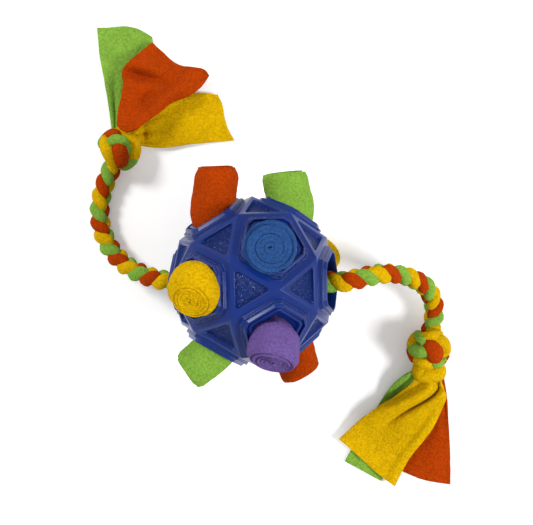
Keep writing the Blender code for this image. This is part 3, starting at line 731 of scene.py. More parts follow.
@dataclass
class FleeceRoll:
    """One rolled end of a fleece strip, wound from a single sheet."""

    name: str
    strip: Strip
    side: int                          # 1 on its slide axis, -1 against it
    heading: tuple[float, float, float]    # where the roll leans to
    reach: float                       # ball's centre to the tip, along the roll
    lean: float                        # angle from the hole's axis to the tip's, in degrees
    shift: tuple[float, float] = (0.0, 0.0)   # tip's push in plan
    radius: float = 15.4 * MM
    flare: float = 1.04                # swelling outside the hole
    pinch: float = 0.10                # drawing-in of the last few millimetres at the tip
    outer_drop: float = 1.3 * MM       # how far the outer turn lies behind the others at the tip
    seat: tuple[float, float] = (0.0, 0.0)    # how far the whole roll lies off its hole's axis, in plan
    seam: float = 0.0                  # outer free edge's place, in turns from the roll's underside
    seed: float = 0.0
    waist: float = 0.74                # squeezing where the roll passes its hole
    waist_reach: float = 47.5 * MM
    waist_width: float = 5.4 * MM
    inner_flare: float = 0.12          # swelling of the end inside the ball
    inner_width: float = 6.0 * MM
    core_radius: float = 0.45 * MM
    thickness: float = 2.5 * MM
    pitch: float = 2.3 * MM
    tuck: float = 1.5 * MM             # how far the outer free edge is pressed into the turn under it
    tuck_share: float = 0.07
    pinch_reach: float = 5.0 * MM
    inner_reach: float = 33.5 * MM
    bend_reach: float = 46.0 * MM
    bend_radius: float = 14.0 * MM
    floor_gap: float = 1.6 * MM        # least height of the cloth's middle surface
    flare_rate: float = 3.5            # how soon past its bend the roll has swollen
    edge_rounding: float = 1.05 * MM   # of the cut edges
    turn_wavers: float = 9.0           # slow wavers of the spiral from its core to its outside
    turn_waver: float = 0.22 * MM
    waver_lane: float = 0.3            # the pattern's line that the wavers are read along
    edge_waves: float = 26.0           # ripples of the long cut edge at the tip
    edge_wave: float = 0.55 * MM
    wave_lane: float = 5.0
    outer_start: float = 0.78          # share of the spiral from which its turns lie back at the tip
    outer_blend: float = 0.2
    tip_rows: int = 5                  # columns of the cloth that the tip's ripples reach
    pile_size: float = 3.4 * MM
    pile_height: float = 0.36 * MM
    steps_per_turn: int = 40
    row_step: float = 1.6 * MM

    def axis(self) -> Vector:
        """The hole's axis, outwards on the roll's side."""
        return self.strip.axis() * self.side

    def stations(self) -> list[tuple[Vector, Matrix, float]]:
        """Places along the roll's middle, with their turns and scales.

        Returns:
            Place, turn from the hole's frame, and scale, from the inner end to the tip.
        """
        axis = self.axis()
        hinge = axis.cross(Vector(self.heading).normalized()).normalized()
        lean = math.radians(self.lean)
        length = self.reach - self.inner_reach
        count = round(length / self.row_step)
        seat = Vector((*self.seat, 0.0))
        place = ball_centre() + axis * self.inner_reach + seat - axis * axis.dot(seat)
        push = Vector((*self.shift, 0.0))
        result: list[tuple[Vector, Matrix, float]] = []
        for step in range(count + 1):
            along = self.inner_reach + length * step / count
            angle = min(lean, max(0.0, (along - self.bend_reach) / self.bend_radius))
            turn = Matrix.Rotation(angle, 3, hinge)
            grown = ease((along - self.bend_reach) / (self.reach - self.bend_reach))
            drawn = ease((along - self.reach + self.pinch_reach) / self.pinch_reach)
            scale = 1.0 + (self.flare - 1.0) * ease(self.flare_rate * grown) - self.pinch * drawn * drawn
            scale -= (1.0 - self.waist) * hump(along, self.waist_reach, self.waist_width)
            scale += self.inner_flare * hump(along, self.inner_reach, self.inner_width)
            result.append((place + push * grown, turn, scale))
            place = place + (turn @ axis) * (length / count)
        return result

    def grid(self) -> Grid:
        """Places on the rolled sheet's middle surface.

        Returns:
            Rows along the spiral, columns along the roll.
        """
        axis = self.axis()
        first = axis.orthogonal().normalized()
        second = axis.cross(first)
        turns = (self.radius - self.thickness / 2.0 - self.core_radius) / self.pitch
        under = math.atan2(-second.z, -first.z)
        start = under + 2.0 * math.pi * (self.seam - turns)
        count = int(turns * self.steps_per_turn)
        stations = self.stations()
        rows: Grid = []
        for step in range(count + 1):
            share = step / count
            angle = start + 2.0 * math.pi * turns * share
            radius = self.core_radius + self.pitch * turns * share
            radius -= self.tuck * ease((share - 1.0 + self.tuck_share) / self.tuck_share)
            waver = noise.noise(Vector((share * self.turn_wavers, self.seed, self.waver_lane)))
            radius += waver * self.turn_waver
            ray = first * math.cos(angle) + second * math.sin(angle)
            wave = noise.noise(Vector((share * self.edge_waves, self.seed, self.wave_lane)))
            drop = self.outer_drop * ease((share - self.outer_start) / self.outer_blend)
            drop -= wave * self.edge_wave
            row: list[Vector] = []
            for index, (place, turn, scale) in enumerate(stations):
                tip = ease((index - len(stations) + self.tip_rows) / (self.tip_rows - 1))
                back = (turn @ axis) * (-drop * tip)
                spot = place + (turn @ ray) * (radius * scale) + back
                spot = ruffle(spot, turn @ ray, self.pile_size, self.pile_height)
                spot.z = max(spot.z, self.floor_gap)
                row.append(spot)
            rows.append(row)
        return rows

    def build(self) -> bpy.types.Object:
        """Model the roll.

        Returns:
            The roll.
        """
        grid = self.grid()
        roll = sheet_piece(self.name + "_fleece", grid, self.thickness, self.edge_rounding)
        roll.data.materials.append(FLEECE[self.strip].material())
        declare(roll, self.strip.body, self.name)
        return roll


@dataclass
class GatheredMiddle:
    """The middle of a rolled strip, gathered into a loose bundle inside the ball."""

    strip: Strip
    radius: float = 2.4 * MM
    flutes: int = 5
    flute_depth: float = 0.45 * MM
    twist: float = 2.4                 # turn of the flutes from end to end, in radians
    pile_size: float = 2.5 * MM
    pile_height: float = 0.15 * MM
    sides: int = 30
    ring_step: float = 1.2 * MM

    def build(self) -> bpy.types.Object:
        """Model the bundle between the strip's two rolls.

        Returns:
            The bundle.
        """
        node = self.strip.body + "_middle"
        low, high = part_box(node)
        middle = (low + high) / 2.0
        axis = self.strip.axis()
        corners = [vertex.co for vertex in frame["nodes"][node].data.vertices]
        half = max((corner - middle).dot(axis) for corner in corners)
        count = round(2.0 * half / self.ring_step)
        side = axis.orthogonal().normalized()
        up = axis.cross(side)
        vertices: list[Vector] = []
        for ring in range(count + 1):
            share = ring / count
            place = middle + axis * (half * (2.0 * share - 1.0))
            for index in range(self.sides):
                angle = 2.0 * math.pi * index / self.sides
                fold = math.cos(self.flutes * angle + self.twist * share) * self.flute_depth
                ray = side * math.cos(angle) + up * math.sin(angle)
                spot = place + ray * (self.radius + fold)
                vertices.append(ruffle(spot, ray, self.pile_size, self.pile_height))
        bundle = add_mesh(node + "_fleece", vertices, tube_faces(count + 1, self.sides, 0))
        recalculate(bundle)
        bpy.ops.object.shade_smooth()
        bundle.data.materials.append(FLEECE[self.strip].material())
        declare(bundle, self.strip.body, node)
        return bundle


@dataclass
class Plait:
    """A three-strand plait along a line, worked outwards from the ball to both knots."""

    swing: float = 3.0 * MM            # strands' way between the plait's two faces
    weave: float = 2.2 * MM            # strands' way across it
    strand_width: float = 8.4 * MM
    strand_height: float = 6.8 * MM
    pile_size: float = 2.4 * MM
    pile_height: float = 0.35 * MM
    sides: int = 20
    ring_step: float = 0.9 * MM

    def mesh(self, name: str, line: Sequence[Vector], phases: Callable[[float], float],
             rolls: tuple[float, float], hand: int, drop_share: float = 1.0) -> bpy.types.Object:
        """Model the plait's three strands along a line.

        Args:
            name: The piece's name.
            line: Points of the rope's middle.
            phases: Phase of the first strand, in turns, by distance along the line.
            rolls: Turn of the plait about its line at both ends, in degrees, 90 for edge-on.
            hand: 1 where the line runs with the rope's axis, -1 where it runs against it.
            drop_share: How much of the line's rise and fall counts as distance for the phases.

        Returns:
            The plait.
        """
        points = smooth_line(line, self.ring_step)
        runs = [0.0]
        for first, second in zip(points, points[1:]):
            way = second - first
            way.z *= drop_share
            runs.append(runs[-1] + way.length)
        sky = Vector((0.0, 0.0, 1.0))
        vertices: list[Vector] = []
        faces: list[Face] = []
        colours: list[int] = []
        for strand in range(3):
            middles: list[Vector] = []
            sides: list[Vector] = []
            for index, (point, forward) in enumerate(zip(points, directions(points))):
                left = sky.cross(forward).normalized()
                up = forward.cross(left)
                share = ease(index / (len(points) - 1))
                roll = math.radians(rolls[0] + (rolls[1] - rolls[0]) * share)
                across = left * math.cos(roll) + up * math.sin(roll)
                deep = (left * math.sin(roll) - up * math.cos(roll)) * hand
                phase = 2.0 * math.pi * (phases(runs[index]) + strand / 3.0)
                middles.append(point + across * (math.sin(phase) * self.swing)
                               + deep * (math.sin(2.0 * phase) * self.weave))
                sides.append(across)
            start = len(vertices)
            for middle, tangent, across in zip(middles, directions(middles), sides):
                thin = across_line(across, tangent)
                wide = tangent.cross(thin)
                for corner in range(self.sides):
                    angle = 2.0 * math.pi * corner / self.sides
                    offset = (wide * (math.cos(angle) * self.strand_width / 2.0)
                              + thin * (math.sin(angle) * self.strand_height / 2.0))
                    vertices.append(ruffle(middle + offset, offset.normalized(),
                                           self.pile_size, self.pile_height))
            strand_faces = tube_faces(len(points), self.sides, start)
            faces += strand_faces
            colours += [strand] * len(strand_faces)
        plait = add_mesh(name, vertices, faces)
        colour_faces(plait, colours)
        recalculate(plait)
        bpy.ops.object.shade_smooth()
        return plait


@dataclass
class KnotWrap:
    """One strand's visible turn round a knot: three places in plan from the knot's middle, in mm."""

    strip: Strip
    places: tuple[tuple[float, float], tuple[float, float], tuple[float, float]]
    radius: float                      # in mm
    below: bool = False                # whether it runs on the knot's underside
    height: float | None = None        # of its middle from the knot's, in mm, where it isn't on the round


LEFT_WRAPS = [
    KnotWrap(Strip.GREEN, ((-12.5, 3.5), (-13.0, 7.0), (-10.5, 10.5)), 3.2),
    KnotWrap(Strip.ORANGE, ((-11.0, 8.2), (-6.9, 10.0), (-2.0, 9.6)), 4.5),
    KnotWrap(Strip.YELLOW, ((-3.0, 15.0), (3.5, 11.5), (10.0, 7.5)), 4.8),
    KnotWrap(Strip.YELLOW, ((-9.2, 6.0), (-6.6, -2.0), (-2.6, -9.5)), 4.4),
    KnotWrap(Strip.GREEN, ((-3.4, 4.6), (0.8, 5.4), (5.0, 4.2)), 3.6),
    KnotWrap(Strip.ORANGE, ((1.6, -0.5), (2.3, -5.0), (1.8, -9.0)), 5.3),
    KnotWrap(Strip.YELLOW, ((8.6, 7.0), (10.8, 0.5), (9.6, -6.0)), 4.8),
    KnotWrap(Strip.GREEN, ((11.6, -6.8), (8.0, -10.4), (3.6, -12.2)), 3.9),
    KnotWrap(Strip.GREEN, ((-9.0, 7.0), (0.0, 7.0), (9.0, 5.0)), 4.6, True),
    KnotWrap(Strip.ORANGE, ((-9.0, 0.0), (0.0, -1.0), (9.0, -2.0)), 4.6, True),
    KnotWrap(Strip.YELLOW, ((-6.0, -8.0), (0.0, -9.0), (7.0, -8.0)), 4.6, True),
]
RIGHT_WRAPS = [
    KnotWrap(Strip.YELLOW, ((-4.2, 7.8), (1.6, 9.0), (7.0, 9.8)), 4.0),
    KnotWrap(Strip.GREEN, ((-8.6, 11.0), (-7.2, 8.2), (-5.6, 5.2)), 2.9),
    KnotWrap(Strip.YELLOW, ((-9.0, 9.5), (-12.2, 4.8), (-12.6, 0.8)), 4.9),
    KnotWrap(Strip.ORANGE, ((-13.2, -0.5), (-12.2, -4.5), (-9.5, -8.5)), 3.4),
    KnotWrap(Strip.GREEN, ((-11.0, -0.4), (-8.4, -1.6), (-5.0, -1.2)), 4.4),
    KnotWrap(Strip.ORANGE, ((-1.4, 2.2), (2.2, -1.8), (3.2, -5.0)), 5.7),
    KnotWrap(Strip.YELLOW, ((6.8, 5.6), (11.2, 1.6), (11.8, -3.8)), 5.0),
    KnotWrap(Strip.ORANGE, ((13.4, -5.5), (12.4, -8.2), (10.0, -10.5)), 3.0),
    KnotWrap(Strip.GREEN, ((11.6, -7.0), (8.2, -8.8), (4.4, -10.2)), 3.7),
    KnotWrap(Strip.YELLOW, ((-8.8, -7.4), (-4.0, -9.6), (1.8, -12.0)), 4.4),
    KnotWrap(Strip.YELLOW, ((-5.0, -17.6), (0.8, -18.4), (6.4, -17.0)), 6.8, height=-3.6),
    KnotWrap(Strip.YELLOW, ((-9.0, 7.0), (0.0, 7.0), (9.0, 5.0)), 4.6, True),
    KnotWrap(Strip.ORANGE, ((-9.0, 0.0), (0.0, -1.0), (9.0, -2.0)), 4.6, True),
    KnotWrap(Strip.GREEN, ((-7.0, -8.0), (0.0, -9.0), (7.0, -8.0)), 4.6, True),
]


@dataclass
class Knot:
    """A knot of the rope's three strips, tied round one another."""

    side: Side
    wraps: Sequence[KnotWrap]
    reach: float = 15.6 * MM           # middle to the outside of the wraps
    core_radius: float = 10.5 * MM
    tuck_share: float = 0.62           # wrap ends' distance from the middle, as a share of the wraps' own
    tuck_run: float = 0.3              # how far the ends run on, as a share of the wrap's last stretch
    end_girth: float = 0.72            # girth at the ends, as a share of the middle's
    flatness: float = 1.08             # width over height
    core_steps: tuple[int, int] = (32, 20)
    pile_size: float = 2.6 * MM
    pile_height: float = 0.3 * MM
    floor_gap: float = 0.2 * MM
    sides: int = 20
    ring_step: float = 0.9 * MM

    def build(self) -> bpy.types.Object:
        """Model the knot's wraps round a core.

        Returns:
            The knot.
        """
        node = "knot_" + self.side.word
        low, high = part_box(node)
        middle = (low + high) / 2.0
        vertices: list[Vector] = []
        faces: list[Face] = []
        colours: list[int] = []
        for wrap in self.wraps:
            self.add_wrap(wrap, middle, vertices, faces, colours)
        knot = add_mesh(node + "_wraps", vertices, faces)
        colour_faces(knot, colours)
        recalculate(knot)
        bpy.ops.object.select_all(action="DESELECT")
        bpy.ops.mesh.primitive_uv_sphere_add(segments=self.core_steps[0], ring_count=self.core_steps[1],
                                             radius=self.core_radius, location=middle)
        core = bpy.context.view_layer.objects.active
        bpy.ops.object.transform_apply(location=True, rotation=True, scale=True)
        core.data.materials.append(FLEECE[Strip.GREEN].material())
        join_all(knot, [core])
        bpy.ops.object.shade_smooth()
        declare(knot, self.side.body, node)
        return knot

    def add_wrap(self, wrap: KnotWrap, middle: Vector, vertices: list[Vector],
                 faces: list[Face], colours: list[int]) -> None:
        """Add one wrap's tube to the knot's lists.

        Args:
            wrap: The wrap.
            middle: The knot's middle.
            vertices: The knot's vertices so far.
            faces: The knot's faces so far.
            colours: The faces' colour numbers so far.
        """
        radius = wrap.radius * MM
        depth = self.reach - radius
        hand = -1.0 if wrap.below else 1.0
        rays: list[Vector] = []
        for x, y in wrap.places:
            flat = Vector((x * MM, y * MM, 0.0))
            if wrap.height is not None:
                rays.append(Vector((flat.x, flat.y, wrap.height * MM)))
                continue
            if flat.length > depth:
                flat = flat.normalized() * depth
            flat.z = hand * math.sqrt(max(depth * depth - flat.length_squared, 0.0))
            rays.append(flat)
        first = rays[0] * self.tuck_share + (rays[0] - rays[1]) * self.tuck_run
        last = rays[2] * self.tuck_share + (rays[2] - rays[1]) * self.tuck_run
        points = smooth_line([middle + ray for ray in (first, *rays, last)], self.ring_step)
        start = len(vertices)
        for index, (point, forward) in enumerate(zip(points, directions(points))):
            swell = math.sin(math.pi * index / (len(points) - 1))
            girth = radius * (self.end_girth + (1.0 - self.end_girth) * swell)
            outward = across_line((point - middle).normalized(), forward)
            across = forward.cross(outward) * self.flatness
            for corner in range(self.sides):
                angle = 2.0 * math.pi * corner / self.sides
                offset = (across * math.cos(angle) + outward * math.sin(angle)) * girth
                place = ruffle(point + offset, offset.normalized(), self.pile_size, self.pile_height)
                place.z = max(place.z, self.floor_gap)
                vertices.append(place)
        added = tube_faces(len(points), self.sides, start)
        faces += added
        colours += [PLAIT_COLOURS.index(wrap.strip)] * len(added)


@dataclass
class LooseEnd:
    """One strip's loose end past a knot, laid over the floor."""

    name: str
    strip: Strip
    side: Side
    first_edge: Sequence[tuple[float, float]]      # pixel places of one long edge, from the knot out
    second_edge: Sequence[tuple[float, float]]
    heights: Sequence[float]                       # of the cloth's middle above the floor, in mm
    relief: Callable[[float, float], float]        # extra height in mm by share across and share along
    flat: tuple[float, float]                      # cut size
    start_profile: Sequence[float] = (0.0, 0.0)    # near edge's push towards the knot, in pixels
    end_profile: Sequence[float] = (0.0, 0.0)      # far edge's push outwards, in pixels
    gathers: int = 3                               # pleats where the cloth leaves the knot
    gather_height: float = 1.6                     # in mm
    gather_offset: float = 0.6                     # their place across, in radians
    gather_ends: tuple[float, float] = (0.08, 0.7)     # shares along where they are full and gone
    profile_power: int = 5                         # how closely the pushes keep to their edges
    heading_rows: int = 6                          # rows that tell which way each edge faces
    least_height: float = 1.0 * MM                 # of the cloth's middle above the floor
    wave_size: float = 11.0 * MM
    wave_height: float = 0.8 * MM
    wave_lane: float = 0.1                         # the pattern's layer that the waves are read from
    wave_rate: float = 3.0                         # how soon past the knot the waves are full
    pile_size: float = 2.8 * MM
    pile_height: float = 0.25 * MM
    edge_rounding: float = 0.5 * MM
    thickness: float = 1.9 * MM
    columns: int = 54
    rows: int = 64

    def spread(self, numbers: Sequence[float], count: int) -> list[float]:
        """Numbers on a smooth curve through chosen numbers, count steps long."""
        return [point.x for point in resample([Vector((number, 0.0, 0.0)) for number in numbers], count)]

    def grid(self) -> Grid:
        """Places on the cloth's middle surface.

        Returns:
            Rows from the knot to the far edge.
        """
        lifts = self.spread(self.heights, self.rows)
        far = self.spread(self.end_profile, self.columns)
        near = self.spread(self.start_profile, self.columns)
        first, second = (resample([Vector((u, v, 0.0)) for u, v in edge], self.rows)
                         for edge in (self.first_edge, self.second_edge))
        full, gone = self.gather_ends
        up = Vector((0.0, 0.0, 1.0))
        inner = self.heading_rows
        ahead = (first[-1] + second[-1] - first[-inner] - second[-inner]).normalized()
        back = (first[0] + second[0] - first[inner] - second[inner]).normalized()
        rows: Grid = []
        for index in range(self.rows + 1):
            along = index / self.rows
            row: list[Vector] = []
            for column in range(self.columns + 1):
                across = column / self.columns
                spot = first[index].lerp(second[index], across)
                spot += ahead * (far[column] * along ** self.profile_power)
                spot += back * (near[column] * (1.0 - along) ** self.profile_power)
                pleat = math.sin(2.0 * math.pi * self.gathers * across + self.gather_offset)
                pleat *= self.gather_height * (1.0 - ease(along / gone)) * ease(along / full)
                height = (lifts[index] + self.relief(across, along) + pleat) * MM
                place = photo_place(spot.x, spot.y, max(height, self.least_height))
                wave = noise.noise(Vector((place.x, place.y, self.wave_lane)) / self.wave_size)
                wave *= self.wave_height * ease(along * self.wave_rate)
                place.z = max(place.z + wave, self.least_height)
                row.append(ruffle(place, up, self.pile_size, self.pile_height))
            rows.append(row)
        return rows

    def build(self) -> bpy.types.Object:
        """Model the loose end.

        Returns:
            The loose end.
        """
        cloth = sheet_piece(self.name + "_fleece", self.grid(), self.thickness, self.edge_rounding)
        cloth.data.materials.append(FLEECE[self.strip].material())
        declare(cloth, self.side.body, self.name)
        return cloth


def left_green_relief(across: float, along: float) -> float:
    """Soft waves of the left green end."""
    return ease(along) * (1.8 * hump(across, 0.6, 0.2) + 0.8 * hump(across, 0.08, 0.08))


def left_orange_relief(across: float, along: float) -> float:
    """The crease that crosses the left orange end, and the ridges on both sides of it.

    Args:
        across: Share of the cloth's width, from its first edge.
        along: Share of its length, from the knot.

    Returns:
        The extra height, in mm.
    """
    crease = -8.5 * hump(along, 0.64 + 0.14 * across, 0.07) * hump(across, 0.26, 0.27)
    upper = 5.0 * hump(along, 0.80, 0.09) * hump(across, 0.30, 0.30)
    lower = 6.5 * hump(across, 0.82, 0.15) * ease(along * 1.5)
    hollow = -4.0 * hump(across, 0.52, 0.13) * hump(along, 0.44, 0.15)
    return crease + upper + lower + hollow


def left_yellow_relief(across: float, along: float) -> float:
    """A crease near the knot and a lifted upper edge, on the left yellow end.

    Args:
        across: Share of the cloth's width, from its first edge.
        along: Share of its length, from the knot.

    Returns:
        The extra height, in mm.
    """
    edge = 2.2 * hump(across, 0.06, 0.10) * ease(along * 2.0)
    crease = 4.6 * hump(along, 0.19, 0.06) - 4.4 * hump(along, 0.29, 0.045)
    return edge + crease * hump(across, 0.60, 0.28)


def right_yellow_relief(across: float, along: float) -> float:
    """The rolled fold that leaves the neck, the crease under it and the raised right edge.

    Args:
        across: Share of the cloth's width, from its first edge.
        along: Share of its length, from the knot.

    Returns:
        The extra height, in mm.
    """
    sweep = min(1.0, max(0.0, (0.66 - along) / 0.42))
    crease_middle = 0.36 + 0.48 * sweep ** 1.5
    window = hump(along, 0.38, 0.20)
    fold = 8.0 * hump(across, crease_middle - 0.24, 0.19) * window
    crease = -8.0 * hump(across, crease_middle + 0.03, 0.06) * window
    flap = 3.0 * hump(across, crease_middle + 0.20, 0.09) * window
    rim = 2.4 * hump(across, 0.93, 0.07) * ease(along * 2.0 - 0.5)
    return fold + crease + flap + rim


def right_orange_relief(across: float, along: float) -> float:
    """A low wave of the right orange end."""
    return 1.6 * hump(across, 0.62, 0.2) * ease(along)


def right_green_relief(across: float, along: float) -> float:
    """A low wave of the right green end."""
    return 1.6 * hump(across, 0.5, 0.2) * ease(along)


LOOSE_ENDS = [
    LooseEnd("left_tail_green", Strip.GREEN, Side.LEFT,
             [(113, 132), (110, 110), (105, 82), (100, 56), (97.5, 28)],
             [(124, 132), (134, 104), (146, 76), (153, 54), (152, 35)],
             (10.0, 4.0, 1.6, 1.3, 1.2), left_green_relief, (0.048, 0.066),
             end_profile=(0.0, 2.0, 5.0, 4.0, -2.0)),
    LooseEnd("left_tail_yellow", Strip.YELLOW, Side.LEFT,
             [(121, 133), (138, 120), (162, 104), (190, 94), (218, 95)],
             [(130, 142), (142, 145), (164, 147.5), (196, 143.5), (233, 140.5)],
             (12.0, 7.0, 3.0, 1.8, 1.4), left_yellow_relief, (0.044, 0.072),
             end_profile=(0.0, 1.0, -1.0, -1.0, 1.5)),
    LooseEnd("left_tail_orange", Strip.ORANGE, Side.LEFT,
             [(116.5, 124), (118, 110), (121, 97), (123, 83), (123, 69), (136, 56), (152.5, 42.5)],
             [(137, 129), (147, 121), (158, 114), (172, 102.5), (189, 95.5), (200, 88), (209, 75.5)],
             (23.0, 21.0, 15.5, 12.5, 11.0, 7.5, 5.6), left_orange_relief, (0.050, 0.072),
             start_profile=(0.0, 4.0, 5.5, 4.0, 0.0),
             end_profile=(0.0, -2.0, -3.8, -5.8, -6.6, -5.0, -0.5, 2.8, 0.0),
             gather_height=0.0),
    LooseEnd("right_tail_green", Strip.GREEN, Side.RIGHT,
             [(420, 368), (402, 377), (389, 389), (377, 407), (363, 430), (351, 450), (345, 461)],
             [(430, 368), (420, 388), (413, 404), (406, 420), (398, 444), (390, 464), (381, 481)],
             (12.0, 9.0, 5.0, 2.6, 1.6, 1.2, 1.2), right_green_relief, (0.040, 0.077), gathers=2),
    LooseEnd("right_tail_orange", Strip.ORANGE, Side.RIGHT,
             [(427, 364), (423, 398), (414, 428), (406, 455), (400, 470)],
             [(440, 364), (446, 396), (449, 430), (450, 458), (450, 484)],
             (9.0, 4.0, 1.8, 1.4, 1.2), right_orange_relief, (0.040, 0.080),
             end_profile=(0.0, 2.0, 3.0, 2.0, 0.0)),
    LooseEnd("right_tail_yellow", Strip.YELLOW, Side.RIGHT,
             [(414, 362), (416, 378), (398, 394), (378, 407), (360, 420), (346, 433), (339, 439)],
             [(445, 362), (441, 381), (446, 396), (440, 412), (430, 431), (409, 458), (394, 486)],
             (11.0, 11.5, 10.0, 8.0, 6.2, 5.0, 4.6), right_yellow_relief, (0.056, 0.086),
             end_profile=(0.0, 0.0, 0.5, 1.0, 0.0), gathers=2, gather_height=0.5),
]


@dataclass
class Rope:
    """The plaited rope: its middle in the ball, its free stretches, knots and loose ends."""

    plait: Plait
    diameter: float = 13.0 * MM
    pivot_reach: float = 51.8 * MM
    core_reach: float = 39.0 * MM
    straight: float = 6.5 * MM
    knot_depth: float = 7.0 * MM       # how far the plait runs into its knot
    left_core_period: float = 32.3 * MM      # length in which each strand crosses over and back
    right_core_period: float = 30.0 * MM
    left_period: float = 28.5 * MM
    right_period: float = 25.6 * MM
    drop_share: float = 0.3            # of the rope's fall to the floor that stretches its crossings
    turning: float = 5.0 * MM          # length at the middle in which the plait turns back on itself
    middle_phase: float = 0.763        # of the first strand at the ball's centre, in turns
    core_roll: float = 113.0           # turn of the plait inside the ball, in degrees
    right_roll: float = 66.0           # at the right knot
    left_roll: float = 67.0
    blend_back: float = 9.0 * MM       # where the bending at the ball starts, back from the pivot
    blend_ahead: float = 7.0 * MM
    route_step: float = 4.0 * MM

    def line(self, side: Side) -> list[Vector]:
        """Chosen points of one free stretch.

        Args:
            side: The stretch's side.

        Returns:
            The points, from inside the ball to inside the knot.
        """
        centre = ball_centre()
        axis = side.axis()
        route = ROPE_RIGHT_ROUTE if side is Side.RIGHT else ROPE_LEFT_ROUTE
        laid = [Vector((x * MM + centre.x, y * MM + centre.y, z * MM)) for x, y, z in route]
        low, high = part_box("knot_" + side.word)
        toward = ((low + high) / 2.0 - laid[-1]).normalized()
        return [centre + axis * self.core_reach, centre + axis * self.pivot_reach,
                centre + axis * (self.pivot_reach + self.straight), *laid,
                laid[-1] + toward * self.knot_depth]

    def core_phase(self, reach: float) -> float:
        """Phase of the first strand inside the ball, in turns, by reach from its centre to the right."""
        period = self.right_core_period if reach > 0.0 else self.left_core_period
        return self.middle_phase + (math.hypot(reach, self.turning) - self.turning) / period

    def free_phase(self, side: Side, run: float) -> float:
        """Phase of the first strand on a free stretch, at a distance from its inner end."""
        period = self.right_period if side is Side.RIGHT else self.left_period
        return self.core_phase(side.value * self.core_reach) + run / period

    def build_core(self) -> bpy.types.Object:
        """Model the rope's middle inside the ball.

        Returns:
            The middle.
        """
        along = Side.RIGHT.axis() * self.core_reach
        line = [ball_centre() + along * share for share in (-1.0, -0.5, 0.0, 0.5, 1.0)]
        core = self.plait.mesh("rope_middle_plait", line, lambda run: self.core_phase(run - self.core_reach),
                               (self.core_roll, self.core_roll), 1)
        declare(core, "rope", "rope_core")
        return core

    def build_stretch(self, side: Side) -> bpy.types.Object:
        """Args:
            side: The stretch's side.

        Returns:
            The stretch.
        """
        line = smooth_line(self.line(side), self.route_step)
        rolls = (self.core_roll, self.right_roll) if side is Side.RIGHT else (self.left_roll, self.left_roll)
        name = "rope_" + side.word
        stretch = self.plait.mesh(name + "_plait", line, lambda run: self.free_phase(side, run),
                                  rolls, side.value, self.drop_share)
        axis = side.axis()
        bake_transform(stretch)
        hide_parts(name)
        return stretch


ROLLS = [
    FleeceRoll("blue_roll_front", Strip.BLUE, 1, (-0.14, -0.06, 0.99), 63.5 * MM, 27.0,
               shift=(-0.9 * MM, -3.5 * MM), radius=15.7 * MM, flare=1.15, pinch=0.05,
               outer_drop=2.4 * MM, inner_flare=0.22, seam=0.6, seed=0.4),
    FleeceRoll("blue_roll_back", Strip.BLUE, -1, (-0.24, -0.46, -0.86), 68.0 * MM, 0.0, seed=1.1,
               radius=15.8 * MM, waist=0.56, waist_reach=48.0 * MM, waist_width=9.0 * MM),
    FleeceRoll("purple_roll_front", Strip.PURPLE, 1, (-0.15, -0.86, 0.48), 69.5 * MM, 36.0,
               shift=(3.4 * MM, 2.6 * MM), radius=14.4 * MM, flare=1.26, pinch=0.20,
               outer_drop=1.4 * MM, seat=(3.0 * MM, -5.0 * MM), waist=0.75, waist_reach=42.0 * MM,
               waist_width=4.5 * MM, bend_reach=38.0 * MM, seed=2.2),
    FleeceRoll("purple_roll_back", Strip.PURPLE, -1, (-0.26, 0.59, -0.77), 72.0 * MM, 0.0, seed=3.0,
               radius=16.2 * MM, waist=0.56, waist_reach=48.0 * MM, waist_width=9.0 * MM),
    FleeceRoll("yellow_roll_left", Strip.YELLOW, -1, (-0.26, -0.60, 0.76), 67.5 * MM, 37.0,
               shift=(1.4 * MM, -2.0 * MM), radius=16.0 * MM, flare=1.15, pinch=0.32, pinch_reach=9.0 * MM,
               outer_drop=1.6 * MM, seat=(0.0, 4.4 * MM), waist=0.86, seed=3.7),
    FleeceRoll("yellow_roll_right", Strip.YELLOW, 1, (0.42, 0.78, -0.46), 78.0 * MM, 34.0, seed=4.4,
               shift=(0.9 * MM, 0.2 * MM), radius=15.2 * MM, flare=1.0, waist=0.66, waist_width=7.5 * MM),
    FleeceRoll("orange_roll_top", Strip.ORANGE, -1, (-0.08, 0.99, 0.10), 81.5 * MM, 31.0,
               shift=(4.2 * MM, 0.4 * MM), radius=15.2 * MM, flare=1.02, pinch=0.18, pinch_reach=9.0 * MM,
               seat=(-0.4 * MM, 0.0), waist=1.03, waist_reach=55.0 * MM, waist_width=9.0 * MM, seed=5.2),
    FleeceRoll("orange_roll_bottom", Strip.ORANGE, 1, (0.42, -0.87, -0.22), 72.0 * MM, 3.0,
               shift=(-4.8 * MM, -0.4 * MM), radius=15.2 * MM, flare=1.0, pinch=0.04, waist=0.95,
               seed=5.9),
    FleeceRoll("green_roll_top", Strip.GREEN, 1, (-0.10, 0.99, 0.03), 77.0 * MM, 36.0,
               shift=(-3.0 * MM, 0.0), radius=15.4 * MM, flare=1.06, pinch=0.08,
               seat=(0.4 * MM, 0.0), waist=1.02, waist_reach=54.0 * MM, waist_width=9.0 * MM, seed=0.9),
    FleeceRoll("green_roll_bottom", Strip.GREEN, -1, (-0.88, -0.47, 0.0), 72.5 * MM, 26.0,
               shift=(0.4 * MM, -1.6 * MM), radius=15.0 * MM, flare=0.98, pinch=0.10, waist=1.04,
               waist_reach=54.0 * MM, waist_width=9.0 * MM, seed=1.8),
]


